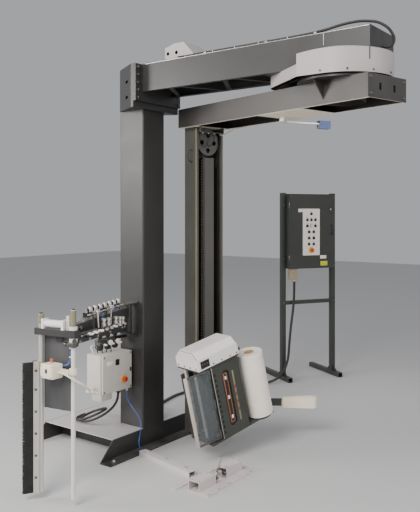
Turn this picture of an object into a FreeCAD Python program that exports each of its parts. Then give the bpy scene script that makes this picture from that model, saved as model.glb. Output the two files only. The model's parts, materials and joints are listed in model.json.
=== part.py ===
"""Rotary-arm pallet wrapper: column and boom, turning arm with mast and film carriage, swinging
film wiper with brush, floor film clamp, junction box and a free-standing control console.

Millimetres, +Z up. The origin is on the floor at the centre of the column. +X runs along the boom
from the column to the slewing axis, +Y runs from the wiper's side to the console's side.
"""
import FreeCAD, Part
import math
import os

V = FreeCAD.Vector
UP = V(0, 0, 1)

# ---- column, base and boom ------------------------------------------------------------------
COLUMN = 254.0            # outer width of the square column tube
FACE = COLUMN / 2.0       # the column's faces from its centre
COLUMN_WALL = 8.0
COLUMN_TOP = 2985.0
FOOT_T = 20.0             # column foot plate
FOOT_HALF = 210.0
DECK_Z = 143.0            # walking surface of the base deck
DECK_T = 6.0
DECK_REAR = 627.0         # deck depth behind the column centre
DECK_LEFT = 464.0         # deck edge on the wiper's side
DECK_RIGHT = 425.0        # deck edge on the console's side
BEAM_T = 6.0              # web of the two base beams
BEAM_FOOT = 133.0         # how far a beam's lower corner runs past the deck
FLANGE_W = 102.0          # outward floor flange of a base beam
FLANGE_T = 8.0
ANCHOR_Y = 510.0          # anchor holes from the column centre, along the beams
ANCHOR_R = 9.0
HEAD_HALF = 270.0         # half width of the bolted joint between column and boom
HEAD_BOTTOM = 2650.0
JOINT_T = 25.0            # thickness of each of the two joint flanges
BOOM_HALF = 190.0
BOOM_BOTTOM = 2776.0
BOOM_TOP = 2990.0
BOOM_WALL = 6.0
BOOM_LIP = 36.0

# ---- slewing drive --------------------------------------------------------------------------
AXIS_X = 1774.0           # slewing axis of the arm
BOOM_END = AXIS_X + 269.0
RUN_FIT = 0.05            # radial clearance of a running fit
GAP = 0.3                 # gap between moving faces that only pass each other
RING_R = 150.0            # bore of the slewing bearing's outer ring
RING_WALL = 36.0
WHEEL_R = 270.0           # slewing sprocket on the arm
PINION_R = 60.0           # drive sprocket under the gear motor
PINION_BACK = 420.0       # drive sprocket's distance from the slewing axis
DRIVE_Z = 2702.0          # underside of both slewing sprockets
DRIVE_T = 12.0
CHAIN_T = 8.0             # radial thickness of a chain band
SHAFT_R = 15.0
GUARD_R = 325.0
GUARD_T = 3.0
GUARD_TAIL = 115.0
GUARD_TOP = 2852.0

# ---- turning arm and mast, in the arm's own frame: x from the slewing axis to the mast --------
ARM_TURN = 165.3          # direction of the mast end, from +X, at rest
ARM_HALF = 190.0
ARM_BOTTOM = 2531.0
ARM_TOP = 2680.0
ARM_WALL = 6.0
ARM_LIP = 30.0
ARM_FREE = 353.0          # free end beyond the slewing axis
ARM_REACH = AXIS_X - 199.0    # mast end from the slewing axis, clear of the column
TURNPLATE_R = 300.0
TURNPLATE_T = 12.0
MAST_IN = ARM_REACH - 175.0   # load-side face of the mast
MAST_OUT = ARM_REACH - 15.0
MAST_HALF = 135.0
MAST_WALL = 6.0
MAST_FOOT = 50.0          # mast's lower end above the floor
POST_HALF = 45.0          # guide post in the middle of the mast
LIFT_R = 105.0            # lift sprockets
LIFT_T = 12.0
LIFT_X = MAST_IN + 25.0
LIFT_LOW = 200.0
LIFT_HIGH = 2410.0
LIFT_SHAFT = 12.0
LIFT_TRAVEL = 1600.0

# ---- film carriage: s outward from the load, w towards the film roll, h up, then tilted ---------
CAR_X = MAST_IN - 504.0   # load-side face of the carriage from the slewing axis
CAR_Y = 501.0
CAR_Z = 698.0
CAR_TILT = 13.5
CAR_DEPTH = 262.0
CAR_WIDTH = 385.0
CAR_DROP = 575.0          # underside of the bottom plate below the top plate's face
CAR_PLATE = 12.0
COVER_H = 132.0
COVER_T = 3.0
PANEL_IN = 105.0
PANEL_OUT = 365.0
ROLL_R = 105.0            # outer radius of the film roll
ROLL_CORE = 38.0
ROLL_LENGTH = 500.0
ROLL_S = 60.0
ROLL_W = 530.0
ROLLER_SHAFT = 10.0
ROLLERS = {"stretch_roller_a": (80.0, 48.0, 38.0), "stretch_roller_b": (160.0, 138.0, 44.0)}
DANCER_AT = (226.0, 118.0)
DANCER_REACH = 78.0
DOOR_AT = (12.0, 92.0)
DOOR_WIDTH = 205.0
DOOR_ANGLE = 79.0
FEELER_AT = (MAST_IN - 288.0, -312.0, 300.0)
FEELER_TURN = 231.6
FEELER_PIN = 8.0

# ---- wiper on the column -----------------------------------------------------------------------
PIVOT = (30.0, -FACE - 78.0)
PIVOT_R = 15.0
WIPER_LOW = 900.0
WIPER_HIGH = 1120.0
ROD_NEAR = (520.0, -FACE - 1078.0)
ROD_FAR = (262.0, -FACE - 1119.0)
RAIL_END = (400.0, -FACE - 1088.0)   # outer end of the arm's rear rail
RAIL_LOW = 1020.0
BEAM_LOW = 1058.0
BEAM_HIGH = 1100.0
ROD_R = 14.0
FAR_ROD_R = 16.0
BRUSH_REACH = 118.0
BRUSH_TOP = 890.0
BRUSH_BOTTOM = 50.0

# ---- junction box on the column -----------------------------------------------------------------
BOX_X = (-150.0, 23.0)
BOX_Y = (-FACE - 336.0, -FACE - 23.0)
BOX_Z = (458.0, 750.0)
BOX_T = 2.0
LID_T = 16.0
PIN_R = 5.0
ESTOP_AT = (BOX_Y[0] + 223.0, 540.0)
ESTOP_STEM = 11.0

# ---- floor clamp ---------------------------------------------------------------------------------
CLAMP_X = (940.0, 1110.0)
CLAMP_Y = (-590.0, -40.0)
CLAMP_PLATE = 6.0
CLAMP_LEVER_Y = -330.0
CLAMP_PIVOT = (985.0, 40.0)
DUCT_W = 62.0
DUCT_H = 36.0

# ---- console, in its own frame: x across, y to its back ---------------------------------------------
CONSOLE_AT = (60.0, 2680.0)
CONSOLE_TURN = 60.0
LEG_X = 320.0
LEG = 50.0
LEG_TOP = 2060.0
LEG_WALL = 3.0
FOOT_FRONT = 170.0
FOOT_BACK = 450.0
CABINET_HALF = 290.0
CABINET_Y = (-105.0, 95.0)
CABINET_Z = (1225.0, 2040.0)
CABINET_T = 2.5
DOOR_T = 4.0
PLATE_X = (-128.0, 88.0)
PLATE_Z = (1370.0, 1885.0)
PLATE_T = 3.0
BUTTON_R = 13.0
BUTTON_FIT = 0.1
BUTTON_OUT = 12.0
ROW_TOP = 1829.0
ROW_STEP = 67.0
ROW_MID = -20.0

# ---- routes of the hoses and cables, points chosen by hand ------------------------------------------
CONDUIT_R = 12.5
CONDUIT = [(7, 2468, 1100), (7, 2468, 960), (2, 2458, 800), (-14, 2432, 600), (-20, 2405, 400),
           (-22, 2385, 220), (-48, 2300, 70), (-110, 2160, 14), (-215, 1960, 14), (-340, 1770, 14),
           (-490, 1590, 14), (-590, 1390, 14), (-610, 1180, 14), (-560, 960, 14), (-500, 760, 14),
           (-462, 590, 16), (-452, 500, 42), (-450, 415, 60), (-450, 330, 60)]
HOSE_R = 10.0
HOSE = [(-60, -215, 430), (-60, -215, 372), (-78, -246, 306), (-128, -296, 250), (-206, -338, 202),
        (-300, -348, 172), (-388, -318, 162), (-436, -246, 166), (-418, -164, 186), (-344, -122, 216),
        (-262, -142, 240), (-216, -206, 250), (-226, -282, 232), (-288, -330, 200), (-366, -342, 170),
        (-446, -310, 156), (-496, -240, 154), (-500, -160, 154)]
AIR_R = 4.0
AIR = [(-10, -170, 430), (-10, -170, 385), (14, -170, 335), (62, -168, 292), (112, -166, 248),
       (141, -168, 200), (146, -176, 150), (146, -190, 100), (156, -212, 58), (186, -234, 32),
       (232, -250, 20)]
SPIRAL_R = 6.0
SPIRAL = [(446.3, -1262, 840), (500, -1262, 840), (556, -1246, 812), (582, -1196, 776), (556, -1130, 738),
          (492, -1062, 706), (410, -980, 672), (316, -884, 634), (216, -778, 592), (118, -690, 548),
          (24, -616, 514), (-60, -562, 500), (-60, -492, 500)]
LOOM_R = 9.0
LOOM = [(560, -150, 3003), (660, -150, 3003), (790, -150.5, 3003), (925, -149.5, 3003),
        (1060, -150.5, 3003), (1195, -149.5, 3003), (1330, -150.5, 3003), (1465, -149.5, 3003),
        (1600, -149, 3004), (1725, -140, 3016), (1835, -116, 3040), (1940, -84, 3050),
        (2035, -50, 3036), (2098, -24, 2992), (2124, 6, 2932), (2104, 20, 2886), (2043, 20, 2886)]

os.makedirs("parts", exist_ok=True)


# ---- small helpers ------------------------------------------------------------------------------
def block(x, y, z):
    """Box between two limits on each axis."""
    return Part.makeBox(x[1] - x[0], y[1] - y[0], z[1] - z[0], V(x[0], y[0], z[0]))


def around(centre, half):
    """Limits at the same distance on both sides of a centre."""
    return centre - half, centre + half


def cylinder(at, r, length, axis=UP):
    """Round bar that starts at a point and runs along an axis."""
    return Part.makeCylinder(r, length, V(*at), V(*axis))


def tube(at, outer, inner, length, axis=UP):
    """Round tube that starts at a point and runs along an axis."""
    return cylinder(at, outer, length, axis).cut(cylinder(at, inner, length, axis))


def prism(points, along):
    """Flat outline pushed along a vector."""
    corners = [V(*p) for p in points]
    return Part.Face(Part.makePolygon(corners + corners[:1])).extrude(V(*along))


def plan(points, z0, z1):
    """Outline in plan, pushed up from z0 to z1."""
    return prism([(x, y, z0) for x, y in points], (0, 0, z1 - z0))


def cut(shape, *tools):
    """Shape with every tool cut from it."""
    for tool in tools:
        shape = shape.cut(tool)
    return shape


def fuse(shape, *others):
    """One solid from several that touch."""
    for other in others:
        shape = shape.fuse(other)
    return shape.removeSplitter()


def belt(x0, r0, x1, r1, thick, low, high):
    """Closed band round two wheels whose centres lie on the x axis."""
    tilt = math.asin((r1 - r0) / (x1 - x0))

    def outline(grow):
        near, far = r0 + grow, r1 + grow
        s, c = math.sin(tilt), math.cos(tilt)
        a, b = V(x0 - near * s, near * c, low), V(x1 - far * s, far * c, low)
        a2, b2 = V(a.x, -a.y, low), V(b.x, -b.y, low)
        edges = [Part.LineSegment(a, b).toShape(), Part.Arc(b, V(x1 + far, 0, low), b2).toShape(),
                 Part.LineSegment(b2, a2).toShape(), Part.Arc(a2, V(x0 - near, 0, low), a).toShape()]
        return Part.Face(Part.Wire(edges)).extrude(V(0, 0, high - low))

    return outline(thick).cut(outline(0.0))


def rounded_tube(half, wall, corner, z0, z1, centre=(0.0, 0.0)):
    """Square tube with round corners, standing on z0."""
    x, y = centre
    outer = block(around(x, half), around(y, half), (z0, z1))
    outer = outer.makeFillet(corner, [e for e in outer.Edges if abs(e.Vertexes[0].Z - e.Vertexes[-1].Z) > 1])
    return outer.cut(block(around(x, half - wall), around(y, half - wall), (z0, z1)))


def cord(points, r):
    """Round tube along straight runs joined by tangent arcs; prints its tightest radius."""
    pts = [V(*p) for p in points]
    edges, start, tightest = [], pts[0], 1e9
    for before, corner, after in zip(pts, pts[1:], pts[2:]):
        into, out = corner - before, after - corner
        half = into.getAngle(out) / 2.0
        trim = 0.45 * min(into.Length, out.Length)
        a = corner - into.normalize() * trim
        b = corner + out.normalize() * trim
        radius = trim / math.tan(half)
        inward = ((a + b) * 0.5 - corner).normalize()
        middle = corner + inward * (math.hypot(trim, radius) - radius)
        tightest = min(tightest, radius)
        edges.append(Part.LineSegment(start, a).toShape())
        edges.append(Part.Arc(a, middle, b).toShape())
        start = b
    edges.append(Part.LineSegment(start, pts[-1]).toShape())
    path = Part.Wire(edges)
    profile = Part.Wire(Part.makeCircle(r, pts[0], pts[1] - pts[0]))
    body = path.makePipeShell([profile], True, False)
    print("cord length", round(path.Length), "radius", round(tightest), "volume ratio",
          round(body.Volume / (path.Length * math.pi * r * r), 4))
    return body


def save(node, *solids):
    """Write one node's solids to its STEP file."""
    shape = solids[0] if len(solids) == 1 else Part.makeCompound(list(solids))
    shape.exportStep("parts/" + node + ".step")


def placed(shape, turn, at, tilt=0.0):
    """Copy tilted about x, turned about z and moved."""
    rotation = FreeCAD.Rotation(UP, turn) * FreeCAD.Rotation(V(1, 0, 0), tilt)
    moved = shape.copy()
    moved.Placement = FreeCAD.Placement(V(*at), rotation).multiply(moved.Placement)
    return moved


def on_arm(*shapes):
    """Shapes of the arm's frame, turned to the arm's rest direction."""
    return [placed(s, ARM_TURN, (AXIS_X, 0, 0)) for s in shapes]


def on_carriage(*shapes):
    """Shapes of the carriage's own frame, tilted and set on the arm's frame."""
    return on_arm(*[placed(s, 0.0, (CAR_X, CAR_Y, CAR_Z), -CAR_TILT) for s in shapes])


def on_console(*shapes):
    """Shapes of the console's frame, turned to its place on the floor."""
    return [placed(s, CONSOLE_TURN, (CONSOLE_AT[0], CONSOLE_AT[1], 0)) for s in shapes]


def car(s, w, h):
    """Box in carriage terms: s outward, w towards the roll, h up."""
    return block(s, (-w[1], -w[0]), h)


# ---- base, column and boom ------------------------------------------------------------------------
def base_frame():
    span = (-DECK_LEFT - BEAM_FOOT, DECK_RIGHT + BEAM_FOOT)
    solids = []
    for inner, side in ((FACE, 1.0), (-DECK_REAR, -1.0)):
        web = prism([(inner, span[0], FLANGE_T), (inner, -DECK_LEFT, DECK_Z),
                     (inner, DECK_RIGHT, DECK_Z), (inner, span[1], FLANGE_T)], (side * BEAM_T, 0, 0))
        outer = inner + side * (BEAM_T + FLANGE_W)
        flange = block(sorted((inner, outer)), span, (0.0, FLANGE_T))
        hole_x = inner + side * (BEAM_T + FLANGE_W / 2.0)
        holes = [cylinder((hole_x, y, -1.0), ANCHOR_R, FLANGE_T + 2.0) for y in (-ANCHOR_Y, ANCHOR_Y)]
        solids += [web, cut(flange, *holes)]
    for y in (-300.0, 300.0):
        solids.append(block((-DECK_REAR, FACE), (y, y + BEAM_T), (FLANGE_T, DECK_Z - DECK_T)))
    gland_y = 300.0 + BEAM_T
    solids.append(cylinder((CONDUIT[-1][0], gland_y, CONDUIT[-1][2]), CONDUIT_R + 6.0,
                           CONDUIT[-1][1] - gland_y, (0, 1, 0)))
    save("base_frame", *solids)


def deck_plate():
    deck = block((-DECK_REAR, FACE), (-DECK_LEFT, DECK_RIGHT), (DECK_Z - DECK_T, DECK_Z))
    save("deck_plate", deck.cut(block((-FACE - GAP, FACE + 1), around(0, FACE + GAP), (0, DECK_Z + 1))))


def column():
    half = FACE
    post = rounded_tube(half, COLUMN_WALL, 12.0, FOOT_T, COLUMN_TOP)
    foot = block((-FOOT_HALF, half), around(0, FOOT_HALF), (0.0, FOOT_T))
    flange = block((half, half + JOINT_T), around(0, HEAD_HALF), (HEAD_BOTTOM, COLUMN_TOP))
    wall = 8.0
    solids = [post, foot, flange]
    for side in (-1.0, 1.0):
        cheek = [(-half, side * half), (half, side * HEAD_HALF), (half, side * (HEAD_HALF - wall)),
                 (-half + wall, side * half)]
        panel = cut(plan(cheek, HEAD_BOTTOM, COLUMN_TOP), block(around(0, half), around(0, half), (0, 3000)))
        if side < 0:
            slots = [block((10.0, 60.0), (-300, -100), (z, z + 22.0)) for z in (2730.0, 2850.0)]
            panel = cut(panel, *slots)
        solids.append(panel)
    for z in (HEAD_BOTTOM, COLUMN_TOP - wall):
        for side in (-1.0, 1.0):
            lid = [(-half + 2 * wall, side * half), (half, side * half), (half, side * (HEAD_HALF - wall))]
            solids.append(plan(lid, z, z + wall))
    save("column", *solids)


def boom():
    start = FACE + JOINT_T
    flange = block((start, start + JOINT_T), around(0, HEAD_HALF), (HEAD_BOTTOM + 50.0, BOOM_TOP - 5.0))
    x = (start + JOINT_T, BOOM_END)
    wall = BOOM_WALL
    floor_x = AXIS_X - 512.0
    shell = cut(block(x, around(0, BOOM_HALF), (BOOM_BOTTOM, BOOM_TOP)),
                block((x[0], x[1] - wall), around(0, BOOM_HALF - wall),
                      (BOOM_BOTTOM + wall, BOOM_TOP - wall)),
                block((x[0], floor_x), around(0, BOOM_HALF - BOOM_LIP),
                      (BOOM_BOTTOM - 1, BOOM_BOTTOM + wall + 1)))
    floor = block((floor_x, BOOM_END - wall), around(0, BOOM_HALF - wall),
                  (BOOM_BOTTOM + wall, BOOM_BOTTOM + 18.0))
    shaft_hole = cylinder((AXIS_X - PINION_BACK, 0, BOOM_BOTTOM - 1), SHAFT_R + 5.0, 30.0)
    shell = cut(fuse(shell, floor), shaft_hole)
    braces = []
    inner = BOOM_HALF - wall
    pitch = 250.0
    first = x[0] + 40.0
    for i in range(int((floor_x - first) // pitch)):
        x0 = first + i * pitch
        side = 1.0 if i % 2 else -1.0
        bar = [(x0, -side * inner), (x0 + 40.0, -side * inner), (x0 + pitch, side * inner),
               (x0 + pitch - 40.0, side * inner)]
        braces.append(plan(bar, BOOM_BOTTOM + wall, BOOM_BOTTOM + wall + 8.0))
    save("boom", flange, shell, *braces)


def frame_bolts():
    front = FACE + 2 * JOINT_T
    solids = []
    for y in (-240.0, 240.0):
        for i in range(5):
            z = 2725.0 + i * 58.0
            solids.append(cylinder((front, y, z), 12.0, 13.0, (1, 0, 0)))
    save("frame_bolts", *solids)


def cable_hood():
    y0, depth, wall = -160.0, 215.0, 2.0
    x0, x1 = 380.0, 670.0

    def profile(inset):
        return [(x0 + inset, y0 + inset, BOOM_TOP), (x0 + inset, y0 + inset, 3085.0 - inset),
                (x0 + 90.0, y0 + inset, 3110.0 - inset), (x0 + 180.0, y0 + inset, 3110.0 - inset),
                (x1 - inset, y0 + inset, BOOM_TOP)]

    hood = cut(prism(profile(0.0), (0, depth, 0)), prism(profile(wall), (0, depth - 2 * wall, 0)),
               *[cylinder((x, y0 - 1.0, 3040.0), 14.0, 6.0, (0, 1, 0)) for x in (x0 + 28.0, x0 + 110.0)],
               cylinder((LOOM[0][0] - 60.0, LOOM[0][1], LOOM[0][2]), LOOM_R + 2.0, 200.0, (1, 0, 0)))
    save("cable_hood", hood)


def slewing_drive():
    ring_z = (BOOM_BOTTOM - 58.0, BOOM_BOTTOM)
    ring = tube((AXIS_X, 0, ring_z[0]), RING_R + RING_WALL, RING_R, ring_z[1] - ring_z[0])
    save("slewing_bearing", ring)
    spigot = cylinder((0, 0, DRIVE_Z), RING_R - RUN_FIT, ring_z[1] - 6.0 - DRIVE_Z)
    hub = cylinder((0, 0, ARM_TOP + TURNPLATE_T), 200.0, DRIVE_Z - ARM_TOP - TURNPLATE_T)
    disc = cylinder((0, 0, DRIVE_Z), WHEEL_R, DRIVE_T)
    wheel = cut(fuse(hub, disc, spigot), cylinder((0, 0, 2600.0), 60.0, 300.0))
    save("slew_wheel", *on_arm(wheel))
    at = AXIS_X - PINION_BACK
    base = BOOM_BOTTOM + 18.0
    pinion = fuse(cylinder((at, 0, DRIVE_Z), PINION_R, DRIVE_T),
                  cylinder((at, 0, DRIVE_Z), SHAFT_R, base + 40.0 - DRIVE_Z))
    keyway = block((at - PINION_R + 4.0, at - PINION_R + 16.0), around(0, 6.0),
                   (DRIVE_Z - 1, DRIVE_Z + DRIVE_T + 1))
    save("slew_sprocket", cut(pinion, keyway))
    gearbox = cut(block(around(at, 70.0), around(0, 70.0), (base, base + 80.0)),
                  cylinder((at, 0, base - 1), SHAFT_R + RUN_FIT, 45.0))
    save("slew_motor", fuse(gearbox, cylinder((at, 0, base + 80.0), 55.0, 95.0)))
    chain = belt(-PINION_BACK, PINION_R + GAP, 0.0, WHEEL_R + GAP, CHAIN_T, DRIVE_Z + 2.0,
                 DRIVE_Z + DRIVE_T - 2.0)
    save("slew_chain", placed(chain, 0.0, (AXIS_X, 0, 0)))


def guard_outline(inset, z0, z1):
    """Teardrop of the drive guard, shrunk by inset."""
    r, tail = GUARD_R - inset, GUARD_TAIL - inset
    shoulder, back = AXIS_X - 166.0 + inset, AXIS_X - PINION_BACK
    a, b = V(shoulder, -r, z0), V(AXIS_X, -r, z0)
    c, d = V(AXIS_X, r, z0), V(shoulder, r, z0)
    slope = math.atan2(GUARD_R - GUARD_TAIL, PINION_BACK - 166.0)
    e = V(back - tail * math.sin(slope), tail * math.cos(slope), z0)
    f = V(e.x, -e.y, z0)
    edges = [Part.LineSegment(a, b).toShape(), Part.Arc(b, V(AXIS_X + r, 0, z0), c).toShape(),
             Part.LineSegment(c, d).toShape(), Part.LineSegment(d, e).toShape(),
             Part.Arc(e, V(back - tail, 0, z0), f).toShape(), Part.LineSegment(f, a).toShape()]
    return Part.Face(Part.Wire(edges)).extrude(V(0, 0, z1 - z0))


def drive_guard():
    low = ARM_TOP + TURNPLATE_T + 6.0
    wall = cut(guard_outline(0.0, low, BOOM_BOTTOM), guard_outline(GUARD_T, low, BOOM_BOTTOM))
    shoulder = AXIS_X - 166.0
    boom_room = block((0, BOOM_END), around(0, BOOM_HALF), (BOOM_BOTTOM, 3100))
    keep = block((shoulder, AXIS_X + 400), around(0, 400), (BOOM_BOTTOM, 3100))

    def crown(inset):
        drop = 0.28 * 400.0
        cone = placed(Part.makeCone(GUARD_R + 400.0, 1.0, 0.28 * (GUARD_R + 399.0)), 0.0,
                      (AXIS_X, 0, GUARD_TOP - drop - inset))
        return guard_outline(inset, BOOM_BOTTOM, 2990.0).common(cone)

    grown = block((0, BOOM_END + GUARD_T), around(0, BOOM_HALF + GUARD_T), (BOOM_BOTTOM - 1, 3100))
    room = block((shoulder + GUARD_T, AXIS_X + 400), around(0, 400), (BOOM_BOTTOM, 3100))
    inner = crown(GUARD_T).common(room)
    upper = cut(crown(0.0).common(keep), boom_room, cut(inner, grown))
    save("drive_guard", wall, upper)


# ---- turning arm and mast -------------------------------------------------------------------------
def arm():
    wall = ARM_WALL
    x = (-ARM_FREE, ARM_REACH)
    shell = cut(block(x, around(0, ARM_HALF), (ARM_BOTTOM, ARM_TOP)),
                block((x[0] + wall, x[1] - wall), around(0, ARM_HALF - wall),
                      (ARM_BOTTOM + wall, ARM_TOP - wall)),
                block((x[0] + wall, MAST_IN - 40.0), around(0, ARM_HALF - ARM_LIP),
                      (ARM_BOTTOM - 1, ARM_BOTTOM + wall + 1)))
    for y in (-70.0, 70.0):
        slot = block((x[0] - 1, x[0] + wall + 1), around(y, 11.0), around(2606.0, 22.0))
        shell = cut(shell, slot)
    for y in (-165.0, 165.0):
        for z in (ARM_BOTTOM + 24.0, ARM_TOP - 24.0):
            shell = cut(shell, cylinder((x[0] - 1, y, z), 5.0, wall + 2.0, (1, 0, 0)))
    plate = tube((0, 0, ARM_TOP), TURNPLATE_R, 60.0, TURNPLATE_T)
    collar = tube((0, 0, ARM_BOTTOM + 30.0), 150.0, 140.0, ARM_TOP - wall - ARM_BOTTOM - 30.0)
    solids = [fuse(shell, plate), collar]
    for side in (-1.0, 1.0):
        solids.append(prism([(-4.0, side * ARM_HALF, ARM_TOP), (-4.0, side * (TURNPLATE_R - 15.0), ARM_TOP),
                             (-4.0, side * ARM_HALF, ARM_TOP - 120.0)], (8.0, 0, 0)))
    save("arm", *on_arm(*solids))
    cover = block((210.0, 640.0), around(0, ARM_HALF - 8.0), (ARM_BOTTOM - 3.0, ARM_BOTTOM))
    save("arm_cover", *on_arm(cover))


def mast():
    z = (MAST_FOOT, ARM_BOTTOM)
    wall = MAST_WALL
    back = block((MAST_OUT - wall, MAST_OUT), around(0, MAST_HALF), z)
    solids = [back]
    for side in (-1.0, 1.0):
        outer = sorted((side * (MAST_HALF - wall), side * MAST_HALF))
        lip = sorted((side * (MAST_HALF - 18.0), side * (MAST_HALF - wall)))
        solids.append(block((MAST_IN, MAST_OUT - wall), outer, z))
        solids.append(block((MAST_IN, MAST_IN + wall), lip, z))
    post_z = (LIFT_LOW + LIFT_R + 20.0, LIFT_HIGH - LIFT_R - 20.0)
    solids.append(block((MAST_IN + 5.0, MAST_OUT - wall), around(0, POST_HALF), post_z))
    solids.append(block((MAST_IN + wall, MAST_OUT - wall), around(0, MAST_HALF - wall), (z[0], z[0] + 8.0)))
    bearing = cut(block((LIFT_X + 55.0, MAST_OUT - wall), around(0, 40.0), around(LIFT_LOW, 40.0)),
                  cylinder((LIFT_X + 45.0, 0, LIFT_LOW), LIFT_SHAFT + RUN_FIT, 60.0, (1, 0, 0)))
    solids.append(bearing)
    save("mast", *on_arm(*solids))


def lift_drive():
    for node, z in (("lift_sprocket_top", LIFT_HIGH), ("lift_sprocket_bottom", LIFT_LOW)):
        holes = [cylinder((LIFT_X - 1, 62.0 * y, z + 62.0 * up), 20.0, LIFT_T + 2, (1, 0, 0))
                 for y, up in ((1, 0), (0, 1), (-1, 0), (0, -1))]
        wheel = cut(cylinder((LIFT_X, 0, z), LIFT_R, LIFT_T, (1, 0, 0)), *holes)
        shaft = cylinder((LIFT_X, 0, z), LIFT_SHAFT, 100.0, (1, 0, 0))
        save(node, *on_arm(fuse(wheel, shaft)))
    gearbox = cut(block((LIFT_X + 37.0, MAST_OUT - MAST_WALL), around(0, 50.0), around(LIFT_HIGH, 50.0)),
                  cylinder((LIFT_X + 35.0, 0, LIFT_HIGH), LIFT_SHAFT + RUN_FIT, 70.0, (1, 0, 0)))
    motor = cylinder((LIFT_X + 83.0, 50.0, LIFT_HIGH), 42.0, 76.0, (0, 1, 0))
    save("lift_motor", *on_arm(gearbox, motor))
    band = belt(0.0, LIFT_R + GAP, LIFT_HIGH - LIFT_LOW, LIFT_R + GAP, CHAIN_T, 0.0, LIFT_T - 4.0)
    upright = band.copy()
    upright.Placement = FreeCAD.Placement(V(LIFT_X + 2.0, 0, LIFT_LOW), FreeCAD.Rotation(
        V(0, 0, 1), V(0, 1, 0), V(1, 0, 0), "ZXY"))
    save("lift_chain", *on_arm(upright))


def photo_eye():
    top = ARM_BOTTOM - 3.0
    hanger = block((570.0, 610.0), (-60.0, -20.0), (top - 26.0, top))
    bar = plan([(574.0, -60.0), (604.0, -20.0), (520.0, -322.0), (490.0, -314.0)], top - 36.0, top - 26.0)
    head = placed(block((-45.0, 45.0), (-26.0, 26.0), (-32.0, 26.0)), -107.0, (492.0, -361.8, top - 34.0))
    save("photo_eye", *on_arm(hanger, bar, head))


# ---- film carriage --------------------------------------------------------------------------------
def carriage_frame():
    low, high = -CAR_DROP, 0.0
    t = CAR_PLATE
    bores = [cylinder((s, -w, -600), ROLLER_SHAFT + RUN_FIT, 700) for s, w, r in ROLLERS.values()]
    bores.append(cylinder((DANCER_AT[0], -DANCER_AT[1], -600), ROLLER_SHAFT + RUN_FIT, 700))
    top = cut(car((0.0, CAR_DEPTH), (0.0, CAR_WIDTH - 5.0), (-t, high)), *bores)
    spindle = cylinder((ROLL_S, -ROLL_W, -600), SHAFT_R + RUN_FIT, 100)
    tray = fuse(car((0.0, CAR_DEPTH), (0.0, 620.0), (low, low + t)),
                cylinder((ROLL_S, -ROLL_W, low), 85.0, t))
    tray = cut(tray, spindle, *bores)
    rear = car((CAR_DEPTH - t, CAR_DEPTH), (10.0, 600.0), (low + t, -t - 60.0))
    hinge = cylinder((DOOR_AT[0], -DOOR_AT[1], low + t), PIN_R, CAR_DROP - 2 * t)
    gearbox = car((30.0, 235.0), (20.0, 215.0), (high, 52.0))
    motor = cylinder((150.0, -215.0, 50.0), 46.0, 140.0, (0, -1, 0))
    seat = car((120.0, 180.0), (240.0, 340.0), (high, 4.0))
    carried = on_carriage(top, tray, rear, hinge, gearbox, motor, seat)
    slide = block((MAST_IN - 20.0, MAST_IN - 8.0), around(0, 100.0), (330.0, 720.0))
    solids = [slide]
    for z in (410.0, 540.0):
        solids.append(block((CAR_X + CAR_DEPTH, MAST_IN - 20.0), around(0, 50.0), (z, z + 60.0)))
    for side in (-1.0, 1.0):
        shoe = sorted((side * (POST_HALF + GAP), side * (POST_HALF + 40.0)))
        for z in (360.0, 620.0):
            solids.append(block((MAST_IN - 8.0, MAST_IN + 20.0), shoe, (z, z + 70.0)))
    px, py, pz = FEELER_AT
    back = CAR_X + CAR_DEPTH
    step = block((px - 12.0, back + 12.0), (py - 14.0, py + 16.0), (pz - 50.0, pz - 38.0))
    ear = block((back, back + 12.0), (py - 14.0, py + 172.0), (pz - 50.0, pz + 30.0))
    solids.append(fuse(step, ear))
    solids.append(cylinder((px, py, pz - 38.0), FEELER_PIN, 76.0))
    save("carriage_frame", *(carried + on_arm(*solids)))


def cover_outline(inset):
    """Front-to-back section of the carriage cover, shrunk by inset."""
    back, edge, top = CAR_DEPTH + 3.0 - inset, COVER_H - 48.0, COVER_H - inset
    section = [(inset, 0.0), (inset, edge), (50.0, top), (CAR_DEPTH - 47.0, top), (back, edge), (back, 0.0)]
    return [(s, -inset, h) for s, h in section]


def carriage_cover():
    outer = prism(cover_outline(0.0), (0, -CAR_WIDTH, 0))
    rims = [e for e in outer.Edges if min(v.Z for v in e.Vertexes) > 1.0]
    outer = outer.makeFillet(14.0, rims)
    inner = prism(cover_outline(COVER_T), (0, -CAR_WIDTH + 2 * COVER_T, 0))
    recess = car((-1.0, 14.0), (24.0, 108.0), (8.0, 66.0))
    save("carriage_cover", *on_carriage(cut(outer, inner, recess)))


def carriage_panel():
    low, high = -CAR_DROP + CAR_PLATE, -CAR_PLATE
    panel = car((0.0, 20.0), (PANEL_IN, PANEL_OUT), (low, high))
    mid = 224.0
    well = fuse(car((-1.0, 12.0), (mid - 36.0, mid + 36.0), (-470.0, -106.0)),
                cylinder((-1.0, -mid, -106.0), 36.0, 13.0, (1, 0, 0)),
                cylinder((-1.0, -mid, -470.0), 36.0, 13.0, (1, 0, 0)))
    slots = [car((-1.0, 9.0), (PANEL_IN + 18.0, PANEL_IN + 30.0), (z, z + 22.0))
             for z in range(-530, -60, 40)]
    save("carriage_panel", *on_carriage(cut(panel, well, *slots)))


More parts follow.
